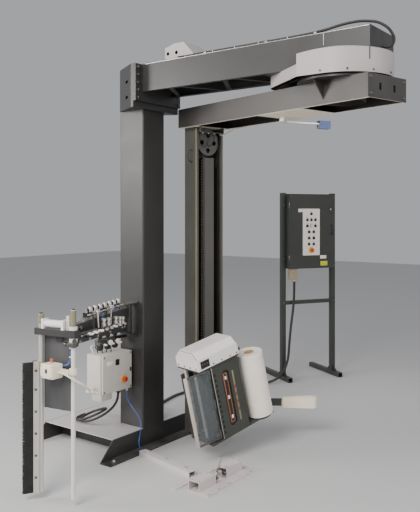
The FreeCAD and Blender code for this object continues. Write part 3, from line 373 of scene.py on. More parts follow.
@dataclass(frozen=True)
class Clear:
    """Clear plastic sheet with faint scuffs."""

    name: str
    tint: Colour = (0.86, 0.90, 0.91)
    alpha: float = 0.3
    rough: float = 0.12

    def build(self) -> bpy.types.Material:
        """Make the material."""
        made, g, shader = new_material(self.name)
        scuff = g.noise(g.node("ShaderNodeTexCoord").outputs["Object"], 22.0, 6.0)
        span = g.node("ShaderNodeMapRange")
        span.inputs["To Min"].default_value = self.alpha * 0.6
        span.inputs["To Max"].default_value = min(1.0, self.alpha * 1.6)
        g.link(scuff.outputs["Fac"], span.inputs["Value"])
        g.link(span.outputs["Result"], shader.inputs["Alpha"])
        shader.inputs["Base Color"].default_value = (*self.tint, 1)
        shader.inputs["Roughness"].default_value = self.rough
        add_bump(g, scuff.outputs["Fac"], shader, 0.0006)
        return made


@dataclass(frozen=True)
class Banded:
    """A surface with close parallel bands along one axis, such as bristles."""

    name: str
    base: Colour
    dark: Colour
    pitch: float
    axis: int = 2
    rough: float = 0.35
    depth: float = 0.0005

    def build(self) -> bpy.types.Material:
        """Make the material."""
        made, g, shader = new_material(self.name)
        place = g.node("ShaderNodeTexCoord")
        parts = g.node("ShaderNodeSeparateXYZ")
        g.link(place.outputs["Object"], parts.inputs[0])
        noise = g.noise(place.outputs["Object"], 14.0, 4.0).outputs["Fac"]
        along = g.math("MULTIPLY", parts.outputs[self.axis], 2.0 * math.pi / self.pitch)
        wave = g.math("SINE", g.math("ADD", along, g.math("MULTIPLY", noise, 9.0)))
        level = g.math("ADD", g.math("MULTIPLY", wave, 0.25), noise)
        g.link(g.blend(level, (*self.dark, 1), (*self.base, 1)), shader.inputs["Base Color"])
        g.link(g.math("ADD", self.rough, g.math("MULTIPLY", noise, 0.2)), shader.inputs["Roughness"])
        add_bump(g, level, shader, self.depth)
        return made


class Finish(Enum):
    """Every finish of the machine, by what it is on."""

    FRAME = Painted("frame_grey", (0.030, 0.0295, 0.029), (0.047, 0.045, 0.043), 0.40, 0.25)
    ARM = Painted("arm_grey", (0.038, 0.035, 0.033), (0.056, 0.051, 0.047), 0.40, 0.2)
    GUARD = Painted("guard_grey", (0.40, 0.362, 0.360), (0.47, 0.430, 0.425), 0.5, 0.1)
    DECK = Tread("tread_plate", (0.93, 0.87, 0.865))
    COVER = Painted("cover_enamel", (0.84, 0.755, 0.775), (0.90, 0.835, 0.85), 0.35, 0.05, 700.0, 5.0,
                    0.0001, 0.2)
    PANEL = Painted("panel_grey", (0.034, 0.038, 0.032), (0.054, 0.057, 0.049), 0.5, 0.15, 500.0, 6.0, 0.0004)
    MAST = Painted("mast_grey", (0.070, 0.067, 0.060), (0.100, 0.094, 0.084), 0.45, 0.15)
    BOX = Painted("box_grey", (0.60, 0.57, 0.52), (0.68, 0.65, 0.60), 0.4, 0.1)
    IVORY = Painted("ivory", (0.86, 0.79, 0.62), (0.91, 0.86, 0.73), 0.45, 0.05)
    CLAMP = Painted("clamp_grey", (0.60, 0.545, 0.54), (0.68, 0.63, 0.62), 0.4, 0.1)
    ROD = Painted("rod_grey", (0.70, 0.665, 0.63), (0.78, 0.75, 0.71), 0.3, 0.0, 500.0, 5.0, 0.0001, 0.2)
    RUBBER = Painted("black_rubber", (0.018, 0.018, 0.017), (0.035, 0.034, 0.032), 0.6, 0.2, 900.0)
    BLACK = Painted("black_moulding", (0.012, 0.012, 0.012), (0.02, 0.02, 0.02), 0.35, 0.05, 900.0)
    RED = Painted("red_moulding", (0.62, 0.02, 0.015), (0.7, 0.05, 0.03), 0.3, 0.02, 900.0, 8.0, 0.0001, 0.4)
    YELLOW = Painted("yellow_plastic", (0.80, 0.55, 0.02), (0.85, 0.62, 0.08), 0.35, 0.02, 900.0, 8.0,
                     0.0001, 0.3)
    ORANGE = Painted("orange_print", (0.50, 0.15, 0.05), (0.58, 0.22, 0.09), 0.4, 0.0)
    WHITE = Painted("white_print", (0.90, 0.845, 0.79), (0.94, 0.895, 0.85), 0.4, 0.0)
    BLUE = Painted("blue_tube", (0.03, 0.10, 0.42), (0.06, 0.16, 0.5), 0.3, 0.0, 900.0, 8.0, 0.0001, 0.4)
    LIME = Painted("lime_label", (0.60, 0.64, 0.03), (0.66, 0.70, 0.08), 0.4, 0.0)
    DULL_RED = Painted("dull_red", (0.26, 0.035, 0.03), (0.32, 0.06, 0.05), 0.45, 0.0)
    BRASS = Metal("brass", (0.72, 0.55, 0.28), 0.3)
    ZINC = Metal("zinc", (0.66, 0.64, 0.61), 0.32)
    STEEL = Metal("dark_steel", (0.16, 0.155, 0.15), 0.4)
    ALUMINIUM = Metal("plain_aluminium", (0.80, 0.77, 0.72), 0.38, 180.0)
    BRUSH = Banded("bristles", (0.035, 0.037, 0.034), (0.006, 0.006, 0.006), 0.004, 2, 0.7, 0.002)
    FILM = Painted("wound_film", (0.94, 0.875, 0.77), (0.97, 0.925, 0.85), 0.28, 0.0, 60.0, 7.0, 0.0004, 0.35)
    EDGE = Painted("edge_bar", (0.62, 0.55, 0.49), (0.70, 0.63, 0.57), 0.35, 0.0, 500.0, 6.0, 0.0001, 0.1,
                   0.4)
    OLIVE = Painted("olive_strip", (0.20, 0.19, 0.10), (0.26, 0.25, 0.15), 0.5, 0.0)
    CORE = Painted("card_core", (0.50, 0.34, 0.16), (0.58, 0.42, 0.22), 0.8, 0.0, 600.0)
    SLATE = Painted("slate_rubber", (0.060, 0.060, 0.063), (0.085, 0.084, 0.086), 0.55, 0.1, 700.0, 4.0)
    TAN = Painted("tan_gland", (0.36, 0.30, 0.20), (0.42, 0.36, 0.26), 0.5, 0.0)
    CLEAR = Clear("clear_pane", (0.15, 0.17, 0.18), 0.34, 0.06)
    WEB = Clear("film_web", (0.90, 0.90, 0.89), 0.20, 0.08)

    def material(self) -> bpy.types.Material:
        """The material, made the first time that it is asked for."""
        made = bpy.data.materials.get(self.value.name)
        return made if made else self.value.build()


def dress(piece: bpy.types.Object, finish: Finish) -> None:
    """Give a piece one finish.

    Args:
        piece: the object to dress.
        finish: its finish.
    """
    piece.data.materials.clear()
    piece.data.materials.append(finish.material())


NODE_FINISH: dict[Finish, tuple[str, ...]] = {
    Finish.FRAME: ("base_frame", "column", "boom", "slew_motor", "lift_motor", "wiper_mount", "wiper_arm"),
    Finish.ARM: ("arm",),
    Finish.GUARD: ("drive_guard", "cable_hood"),
    Finish.DECK: ("deck_plate",),
    Finish.COVER: ("carriage_cover",),
    Finish.PANEL: ("carriage_frame", "carriage_panel", "console_cabinet", "console_door", "console_stand"),
    Finish.MAST: ("mast",),
    Finish.BOX: ("junction_box", "box_door"),
    Finish.IVORY: ("arm_cover", "feeler", "sealer_box"),
    Finish.CLAMP: ("clamp_base", "hose_cover"),
    Finish.ROD: ("wiper_rod",),
    Finish.RUBBER: ("stretch_roller_a", "stretch_roller_b", "curtain", "boom_conduit"),
    Finish.BLACK: ("air_unit", "mandrel", "push_button_1", "push_button_2", "push_button_3",
                   "push_button_4", "selector_1", "selector_2"),
    Finish.RED: ("box_estop", "console_estop"),
    Finish.ZINC: ("valve_bank", "clamp_lever"),
    Finish.ALUMINIUM: ("brush_holder", "dancer", "photo_eye"),
    Finish.BRUSH: ("brush",),
    Finish.FILM: ("film_roll",),
    Finish.CLEAR: ("carriage_door",),
    Finish.STEEL: ("slewing_bearing", "slew_chain", "slew_sprocket", "slew_wheel", "lift_chain",
                   "lift_sprocket_top", "lift_sprocket_bottom", "frame_bolts"),
}


# ---- modelling ----------------------------------------------------------------------------------------
def deselect() -> None:
    """Leave object mode with nothing selected."""
    if bpy.context.object and bpy.context.object.mode != "OBJECT":
        bpy.ops.object.mode_set(mode="OBJECT")
    bpy.ops.object.select_all(action="DESELECT")


def pick(piece: bpy.types.Object) -> None:
    """Select a piece and make it active."""
    piece.select_set(True)
    bpy.context.view_layer.objects.active = piece


def shade(piece: bpy.types.Object, degrees: float) -> None:
    """Shade a piece smooth up to an angle between faces."""
    piece.select_set(True)
    bpy.ops.object.shade_smooth_by_angle(angle=math.radians(degrees))
    piece.select_set(False)


def added(name: str, data: bpy.types.ID) -> bpy.types.Object:
    """Put new data into the scene as an object."""
    piece = bpy.data.objects.new(name, data)
    bpy.context.collection.objects.link(piece)
    return piece


def aimed(direction: Sequence[float]) -> Matrix:
    """Turn that brings the z axis onto a direction."""
    return Vector(direction).to_track_quat("Z", "Y").to_matrix().to_4x4()


def settle(piece: bpy.types.Object, frame: Matrix | None = None) -> bpy.types.Object:
    """Apply a piece's transform, after carrying it into a frame of the machine.

    Args:
        piece: the object.
        frame: matrix from the piece's own frame to the machine's.

    Returns:
        The same object, with its place in its mesh.
    """
    deselect()
    if frame is not None:
        piece.matrix_world = frame @ piece.matrix_world
    pick(piece)
    bpy.ops.object.transform_apply(location=True, rotation=True, scale=True)
    piece.select_set(False)
    return piece


def apply_modifiers(piece: bpy.types.Object) -> None:
    """Apply every modifier of a piece."""
    deselect()
    pick(piece)
    for modifier in list(piece.modifiers):
        bpy.ops.object.modifier_apply(modifier=modifier.name)
    piece.select_set(False)


def soften(piece: bpy.types.Object, width: float, segments: int = 2) -> None:
    """Round a piece's sharp edges and shade it smooth by angle.

    Args:
        piece: the object.
        width: bevel width in metres.
        segments: bevel segments.
    """
    bevel = piece.modifiers.new("edges", "BEVEL")
    bevel.width = width
    bevel.segments = segments
    bevel.limit_method = "ANGLE"
    apply_modifiers(piece)
    shade(piece, 40)


def slab(name: str, low: Point, high: Point, edge: float = 0.001) -> bpy.types.Object:
    """Box between two corners with softened edges.

    Args:
        name: the piece's name.
        low: lowest corner in metres.
        high: highest corner in metres.
        edge: bevel width.

    Returns:
        The new object.
    """
    deselect()
    centre = [(a + b) / 2 for a, b in zip(low, high)]
    bpy.ops.mesh.primitive_cube_add(size=1.0, location=centre)
    piece = bpy.context.object
    piece.name = name
    piece.scale = [b - a for a, b in zip(low, high)]
    settle(piece)
    if edge:
        soften(piece, edge)
    return piece


def round_bar(name: str, start: Point, stop: Point, radius: float, edge: float = 0.001,
              sides: int = 32) -> bpy.types.Object:
    """Round bar between two points with softened rims.

    Args:
        name: the piece's name.
        start: one end in metres.
        stop: the other end.
        radius: its radius.
        edge: bevel width.
        sides: corners of the section.

    Returns:
        The new object.
    """
    deselect()
    a, b = Vector(start), Vector(stop)
    bpy.ops.mesh.primitive_cylinder_add(vertices=sides, radius=radius, depth=(b - a).length)
    piece = bpy.context.object
    piece.name = name
    piece.matrix_world = Matrix.Translation((a + b) / 2) @ aimed(b - a)
    settle(piece)
    if edge:
        soften(piece, edge)
    return piece


def merge(name: str, pieces: Sequence[bpy.types.Object]) -> bpy.types.Object:
    """Join pieces into one object.

    Args:
        name: the joined piece's name.
        pieces: what is joined.

    Returns:
        The joined object.
    """
    deselect()
    for piece in pieces:
        piece.select_set(True)
    bpy.context.view_layer.objects.active = pieces[0]
    bpy.ops.object.join()
    joined = bpy.context.object
    joined.name = name
    joined.select_set(False)
    return joined


def fix(piece: bpy.types.Object, body: str, finish: Finish, slot: str, *stands_for: str) -> bpy.types.Object:
    """Finish a piece: its look, the body it rides on and the nodes it stands for.

    Args:
        piece: the object.
        body: the body that carries it.
        finish: its look.
        slot: the record's material slot; not used.
        stands_for: CAD nodes that it replaces.

    Returns:
        The same object.
    """
    dress(piece, finish)
    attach(piece, body)
    if stands_for:
        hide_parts(*stands_for)
    log.info("made %s on %s", piece.name, body)
    return piece


# ---- frames of the machine's tilted and turned parts ---------------------------------------------------
def frame_at(at: Point, turn: float, tilt: float = 0.0) -> Matrix:
    """Frame at a point, turned about z and then tilted about its own x, in degrees."""
    turned = Matrix.Rotation(math.radians(turn), 4, "Z") @ Matrix.Rotation(math.radians(tilt), 4, "X")
    return Matrix.Translation(at) @ turned


def heading(start: Point, stop: Point) -> float:
    """Direction in plan from one point to another, in degrees."""
    return math.degrees(math.atan2(stop[1] - start[1], stop[0] - start[0]))


PIVOT: Point = (0.030, -0.205, 0.0)
RAIL_END: Point = (0.400, -1.215, 0.0)
NEAR_ROD: Point = (0.520, -1.205, 0.0)
FAR_ROD: Point = (0.262, -1.246, 0.0)
ARM = frame_at((1.774, 0.0, 0.0), 165.3)
CARRIAGE = ARM @ frame_at((0.896, 0.501, 0.698), 0.0, -13.5)
DOOR = CARRIAGE @ frame_at((0.012, -0.092, 0.0), 79.0)
FEELER = ARM @ frame_at((1.112, -0.312, 0.300), 231.6)
REAR_RAIL = frame_at(PIVOT, heading(PIVOT, RAIL_END))
FRONT_RAIL = frame_at(PIVOT, heading(PIVOT, NEAR_ROD))
CROSSBEAM = frame_at(FAR_ROD, heading(FAR_ROD, NEAR_ROD))
BRUSH = frame_at(FAR_ROD, heading((0.0, 0.0, 0.0), (-0.057, -0.102, 0.0)))
CONSOLE = frame_at((0.060, 2.680, 0.0), 60.0)
HERE = Matrix.Identity(4)
TO_BACK = Matrix.Rotation(math.radians(-90), 4, "X")
TO_FRONT = Matrix.Rotation(math.radians(90), 4, "X")
TO_RIGHT = Matrix.Rotation(math.radians(90), 4, "Y")


def paint_where(node: bpy.types.Object, finish: Finish, frame: Matrix,
                inside: Callable[[Vector], bool]) -> None:
    """Give another finish to the faces of a node whose centres lie in a region.

    Args:
        node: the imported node.
        finish: the finish of the chosen faces.
        frame: the frame in which the region is stated.
        inside: says whether a point of that frame is in the region.
    """
    back = frame.inverted()
    node.data.materials.append(finish.material())
    index = len(node.data.materials) - 1
    for face in node.data.polygons:
        if inside(back @ face.center):
            face.material_index = index


def repeat(name: str, model: bpy.types.Object, places: Iterable[Matrix]) -> bpy.types.Object:
    """Copy a piece to several places, each copy with its own mesh, and join the copies.

    Args:
        name: the joined piece's name.
        model: the piece to copy, modelled at the origin.
        places: where each copy goes.

    Returns:
        The joined piece.
    """
    copies = []
    for place in places:
        copy = model.copy()
        copy.data = model.data.copy()
        bpy.context.collection.objects.link(copy)
        copy.data.transform(place)
        copies.append(copy)
    bpy.data.objects.remove(model)
    return merge(name, copies)


def spread(places: Iterable[Sequence[float]], frame: Matrix = HERE, turn: Matrix = HERE) -> list[Matrix]:
    """Frames at several points of a frame, all turned alike."""
    return [frame @ Matrix.Translation(at) @ turn for at in places]


def array(piece: bpy.types.Object, count: int, step: Point) -> bpy.types.Object:
    """Repeat a piece in a row with an array modifier and apply it."""
    modifier = piece.modifiers.new("row", "ARRAY")
    modifier.count = count
    modifier.use_relative_offset = False
    modifier.use_constant_offset = True
    modifier.constant_offset_displace = step
    apply_modifiers(piece)
    return piece


def turned(name: str, profile: Sequence[tuple[float, float]], frame: Matrix,
           sides: int = 40) -> bpy.types.Object:
    """Turned piece from a profile of radius and height, closed at both ends.

    Args:
        name: the piece's name.
        profile: radius and height of each corner, from one end of the axis to the other.
        frame: the frame whose z is the turning axis.
        sides: steps round the axis.

    Returns:
        The new object.
    """
    deselect()
    data = bpy.data.meshes.new(name)
    data.from_pydata([(r, 0, z) for r, z in profile], [(i, i + 1) for i in range(len(profile) - 1)], [])
    piece = added(name, data)
    screw = piece.modifiers.new("turn", "SCREW")
    screw.steps = screw.render_steps = sides
    screw.use_merge_vertices = True
    screw.merge_threshold = WELD
    screw.use_normal_calculate = True
    apply_modifiers(piece)
    outward(piece)
    settle(piece, frame)
    shade(piece, 35)
    return piece


def outward(piece: bpy.types.Object) -> None:
    """Merge doubled corners and turn every face outwards."""
    deselect()
    pick(piece)
    bpy.ops.object.mode_set(mode="EDIT")
    bpy.ops.mesh.select_all(action="SELECT")
    bpy.ops.mesh.remove_doubles(threshold=WELD)
    bpy.ops.mesh.normals_make_consistent(inside=False)
    bpy.ops.object.mode_set(mode="OBJECT")
    piece.select_set(False)


def pressed(name: str, outline: Sequence[Point], along: Point, frame: Matrix = HERE,
            edge: float = 0.001) -> bpy.types.Object:
    """Flat outline extruded along a vector, with softened edges.

    Args:
        name: the piece's name.
        outline: corners of the outline in order.
        along: the extrusion.
        frame: the frame of both.
        edge: bevel width, or 0.

    Returns:
        The new object.
    """
    deselect()
    data = bpy.data.meshes.new(name)
    data.from_pydata(list(outline), [], [tuple(range(len(outline)))])
    piece = added(name, data)
    pick(piece)
    bpy.ops.object.mode_set(mode="EDIT")
    bpy.ops.mesh.select_all(action="SELECT")
    bpy.ops.mesh.extrude_region_move(TRANSFORM_OT_translate={"value": along})
    bpy.ops.object.mode_set(mode="OBJECT")
    outward(piece)
    settle(piece, frame)
    if edge:
        soften(piece, edge)
    return piece


def curve(name: str, points: Sequence[Point], radius: float, round_steps: int,
          long_steps: int) -> bpy.types.Object:
    """Smooth round curve through points, closed at its ends.

    Args:
        name: the curve's name.
        points: its course.
        radius: its radius.
        round_steps: how finely its section is divided.
        long_steps: how finely its length is divided.

    Returns:
        The new curve object.
    """
    data = bpy.data.curves.new(name, "CURVE")
    data.dimensions = "3D"
    data.bevel_depth = radius
    data.bevel_resolution = round_steps
    data.resolution_u = long_steps
    data.use_fill_caps = True
    spline = data.splines.new("NURBS")
    spline.points.add(len(points) - 1)
    for point, place in zip(spline.points, points):
        point.co = (*place, 1.0)
    spline.order_u = 3
    spline.use_endpoint_u = True
    return added(name, data)


def pipe(name: str, points: Sequence[Point], radius: float, frame: Matrix = HERE) -> bpy.types.Object:
    """Round bar or tube bent along points, made a mesh.

    Args:
        name: the piece's name.
        points: its course.
        radius: its radius.
        frame: the frame of the points.

    Returns:
        The new object.
    """
    deselect()
    pick(curve(name, points, radius, 2, 4))
    bpy.ops.object.convert(target="MESH")
    piece = bpy.context.object
    outward(piece)
    settle(piece, frame)
    piece.select_set(True)
    bpy.ops.object.shade_smooth()
    piece.select_set(False)
    return piece


def bolt_model(radius: float) -> bpy.types.Object:
    """Hex bolt head on its washer, seated at the origin with its axis along z."""
    deselect()
    bpy.ops.mesh.primitive_cylinder_add(vertices=6, radius=radius, depth=radius * 0.8,
                                        location=(0, 0, radius * 0.6))
    head = bpy.context.object
    settle(head)
    soften(head, radius * 0.12, 1)
    washer = round_bar("washer", (0, 0, 0), (0, 0, radius * 0.2), radius * 1.35, radius * 0.06, 20)
    return merge("bolt", [head, washer])


def bolts(name: str, places: Sequence[Point], axis: Point, radius: float, body: str,
          frame: Matrix = HERE, finish: Finish | None = None, *stands_for: str) -> bpy.types.Object:
    """Hex bolts seated at several points.

    Args:
        name: the piece's name.
        places: where the washers sit.
        axis: where the heads point, in the same frame.
        radius: radius over the corners of a head.
        body: the body that carries them.
        frame: the frame of the places.
        finish: their finish, zinc if none is given.
        stands_for: CAD nodes that they replace.

    Returns:
        The joined bolts.
    """
    made = repeat(name, bolt_model(radius), spread(places, frame, aimed(axis)))
    return fix(made, body, finish or Finish.ZINC, "zinc_steel", *stands_for)


def boxed(name: str, low: Point, high: Point, frame: Matrix, edge: float = 0.001) -> bpy.types.Object:
    """Box between two corners of a frame, with softened edges."""
    return settle(slab(name, low, high, edge), frame)


def barred(name: str, start: Point, stop: Point, radius: float, frame: Matrix,
           edge: float = 0.001, sides: int = 32) -> bpy.types.Object:
    """Round bar between two points of a frame, with softened rims."""
    return settle(round_bar(name, start, stop, radius, edge, sides), frame)


def across(side: int, near: float, far: float) -> tuple[float, float]:
    """Lowest and highest y of a strip that lies on one side of the middle."""
    low, high = sorted((side * near, side * far))
    return low, high


def sheet(name: str, columns: Sequence[tuple[float, float]], low: float, high: float, rows: int,
          thick: float, offset: float, frame: Matrix, wave: float = 0.0) -> bpy.types.Object:
    """Upright sheet over a course in plan.

    Args:
        name: the sheet's name.
        columns: the course, from one upright edge to the other.
        low: height of its lower edge.
        high: height of its upper edge.
        rows: how many rows of faces it has.
        thick: its thickness.
        offset: where the thickness lies, -1 to 1.
        frame: the frame of the course.
        wave: depth of its waves, which die out towards the upper edge.

    Returns:
        The new object.
    """
    deselect()
    data = bpy.data.meshes.new(name)
    verts = [(x, y + wave * math.sin(i * 0.9) * (1 - j / rows), low + (high - low) * j / rows)
             for i, (x, y) in enumerate(columns) for j in range(rows + 1)]
    step = rows + 1
    faces = [(i * step + j, (i + 1) * step + j, (i + 1) * step + j + 1, i * step + j + 1)
             for i in range(len(columns) - 1) for j in range(rows)]
    data.from_pydata(verts, [], faces)
    piece = added(name, data)
    solid = piece.modifiers.new("thickness", "SOLIDIFY")
    solid.thickness = thick
    solid.offset = offset
    apply_modifiers(piece)
    outward(piece)
    return settle(piece, frame)


# ---- cords ------------------------------------------------------------------------------------------
@dataclass
class Cord:
    """One hose, conduit or cable that lies or hangs free."""

    name: str
    node: str
    body: str
    route: Sequence[Point]
    radius: float
    length: float
    finish: Finish
    slot: str
    stiffness: str = "medium"
    lay: str = "loose"
    ribs: float = 0.0

    def build(self) -> bpy.types.Object:
        """Make the cord as a curve along its route, in metres."""
        course = [(x / 1000, y / 1000, z / 1000) for x, y, z in self.route]
        piece = curve(self.name, course, self.radius, 4, 10)
        fix(piece, self.body, self.finish, self.slot, self.node)
        if self.ribs:
            self.rib_row(piece)
        return piece

    def rib_row(self, piece: bpy.types.Object) -> None:
        """Make the ribs round the cord, at even steps along its own line.

        Args:
            piece: the cord.
        """
        line = piece.copy()
        line.data = piece.data.copy()
        line.data.bevel_depth = 0.0
        bpy.context.collection.objects.link(line)
        bpy.context.view_layer.update()
        held = line.evaluated_get(bpy.context.evaluated_depsgraph_get())
        points = [v.co.copy() for v in bpy.data.meshes.new_from_object(held).vertices]
        bpy.data.objects.remove(line)
        places, left = [], self.ribs
        for start, stop in zip(points, points[1:]):
            run = stop - start
            while left < run.length:
                places.append(Matrix.Translation(start + run * (left / run.length)) @ aimed(run))
                left += self.ribs
            left -= run.length
        inner, outer, half = self.radius - 0.0004, self.radius + 0.0016, self.ribs * 0.28
        model = turned("rib", [(inner, -half), (outer, -half * 0.5), (outer, half * 0.5), (inner, half),
                               (inner, -half)], HERE, 12)
        fix(repeat(self.name + "_ribs", model, places[1:-1]), self.body, self.finish, self.slot)


CONDUIT = [(7, 2468, 1100), (7, 2468, 960), (2, 2458, 800), (-14, 2432, 600), (-20, 2405, 400),
           (-22, 2385, 220), (-48, 2300, 70), (-110, 2160, 14), (-215, 1960, 14), (-340, 1770, 14),
           (-490, 1590, 14), (-590, 1390, 14), (-610, 1180, 14), (-560, 960, 14), (-500, 760, 14),
           (-462, 590, 16), (-452, 500, 42), (-450, 415, 60), (-450, 330, 60)]
HOSE = [(-60, -215, 430), (-60, -215, 372), (-78, -246, 306), (-128, -296, 250), (-206, -338, 202),
        (-300, -348, 172), (-388, -318, 162), (-436, -246, 166), (-418, -164, 186), (-344, -122, 216),
        (-262, -142, 240), (-216, -206, 250), (-226, -282, 232), (-288, -330, 200), (-366, -342, 170),
        (-446, -310, 156), (-496, -240, 154), (-500, -160, 154)]
AIR = [(-10, -170, 430), (-10, -170, 385), (14, -170, 335), (62, -168, 292), (112, -166, 248),
       (141, -168, 200), (146, -176, 150), (146, -190, 100), (156, -212, 58), (186, -234, 32),
       (232, -250, 20)]
SPIRAL = [(446.3, -1262, 840), (500, -1262, 840), (556, -1246, 812), (582, -1196, 776), (556, -1130, 738),
          (492, -1062, 706), (410, -980, 672), (316, -884, 634), (216, -778, 592), (118, -690, 548),
          (24, -616, 514), (-60, -562, 500), (-60, -492, 500)]


def cords() -> None:
    """Make every free cord of the machine."""
    Cord("console_conduit_hose", "console_conduit", "base", CONDUIT, 0.0125, 3.2, Finish.RUBBER,
         "hose_black", "medium", "loose", 0.014).build()
    Cord("junction_hose_loop", "junction_hose", "base", HOSE, 0.010, 1.41, Finish.RUBBER,
         "hose_black", "medium", "loose").build()
    Cord("air_tube", "air_hose", "base", AIR, 0.004, 0.53, Finish.BLUE, "hose_blue", "limp", "loose").build()
    Cord("sealer_cable", "spiral_cable", "wiper", SPIRAL, 0.006, 1.2, Finish.IVORY,
         "ivory_plastic", "limp", "hanging", 0.012).build()


# ---- sub-assemblies -----------------------------------------------------------------------------------
@dataclass
class Base:
    """Base, column and boom: bolts, cap, conduit saddles and straps, and zinc strips that are painted
    highlights on the boom's seams and top edges.
    """

    anchor_x: tuple[float, float] = (-0.684, 0.184)
    anchor_y: float = 0.510
    head_y: float = 0.240
    top: float = 2.985
    loom: tuple[float, float] = (-0.150, 2.990)
    boom_side: tuple[float, float] = (0.1895, 0.1915)
    clamps: tuple[float, ...] = (0.752, 1.274, 1.648)
    straps: tuple[float, ...] = (0.825, 1.017, 1.217, 1.446)

    def build(self) -> None:
        """Make the pieces of the base."""
        corners = [(x, y, 0.008) for x in self.anchor_x for y in (-self.anchor_y, self.anchor_y)]
        bolts("anchor_bolts", corners, (0, 0, 1), 0.013, "base")
        flange = [(0.177, y, 2.725 + i * 0.058) for y in (-self.head_y, self.head_y) for i in range(5)]
        bolts("head_bolts", flange, (1, 0, 0), 0.0125, "base", HERE, Finish.STEEL, "frame_bolts")
        cap = slab("column_cap", (-0.125, -0.125, self.top), (0.125, 0.125, self.top + 0.004), 0.002)
        fix(cap, "base", Finish.FRAME, "frame_paint")
        self.clamp_row()
        for side, label in SIDES:
            low, high = across(side, *self.boom_side)
            # Zinc strips on the painted boom are painted highlights: a lit line on each seam and along each
            # top edge.
            seam = slab("boom_seam_highlight_" + label, (1.728, low, 2.905), (1.732, high, 2.986), 0)
            fix(seam, "base", Finish.ZINC, "zinc_steel")
            edge = slab("boom_edge_highlight_" + label, (0.200, low, 2.983), (2.038, high, 2.986), 0)
            fix(edge, "base", Finish.ZINC, "zinc_steel")

    def clamp_row(self) -> None:
        """Make the saddles and straps that hold the conduit on the boom."""
        outer, inner, foot, rise, thick = 0.0125, 0.0095, 0.026, 0.013, 0.003
        steps = [math.pi * i / 10 for i in range(11)]
        arch = [(0.0, -foot, 0.0), (0.0, -foot, thick), (0.0, -outer, thick)]
        arch += [(0.0, -outer * math.cos(a), rise + outer * math.sin(a)) for a in steps]
        arch += [(0.0, outer, thick), (0.0, foot, thick), (0.0, foot, 0.0), (0.0, inner, 0.0)]
        arch += [(0.0, inner * math.cos(a), rise + inner * math.sin(a)) for a in steps]
        arch += [(0.0, -inner, 0.0)]
        for name, width, spots, finish in (("conduit_saddles", 0.016, self.clamps, Finish.ZINC),
                                           ("conduit_straps", 0.006, self.straps, Finish.ALUMINIUM)):
            model = pressed("arch", arch, (width, 0.0, 0.0), HERE, 0.0)
            places = spread([(x, *self.loom) for x in spots])
            fix(repeat(name, model, places), "base", finish, "zinc_steel")
        heads = [(x + 0.008, self.loom[0] - 0.020, self.loom[1] + thick) for x in self.clamps]
        bolts("saddle_bolts", heads, (0, 0, 1), 0.006, "base")


@dataclass
class Drive:
    """Guard of the slewing drive: rim bolts."""

    axis_x: float = 1.774
    radius: float = 0.325
    low: float = 2.716

    def build(self) -> None:
        """Make the guard's bolts."""
        model = bolt_model(0.006)
        places = []
        for degrees in range(-90, 91, 30):
            a = math.radians(degrees)
            at = (self.axis_x + self.radius * math.cos(a), self.radius * math.sin(a), self.low)
            places.append(Matrix.Translation(at) @ aimed((math.cos(a), math.sin(a), 0)))
        fix(repeat("guard_bolts", model, places), "base", Finish.STEEL, "black_steel")


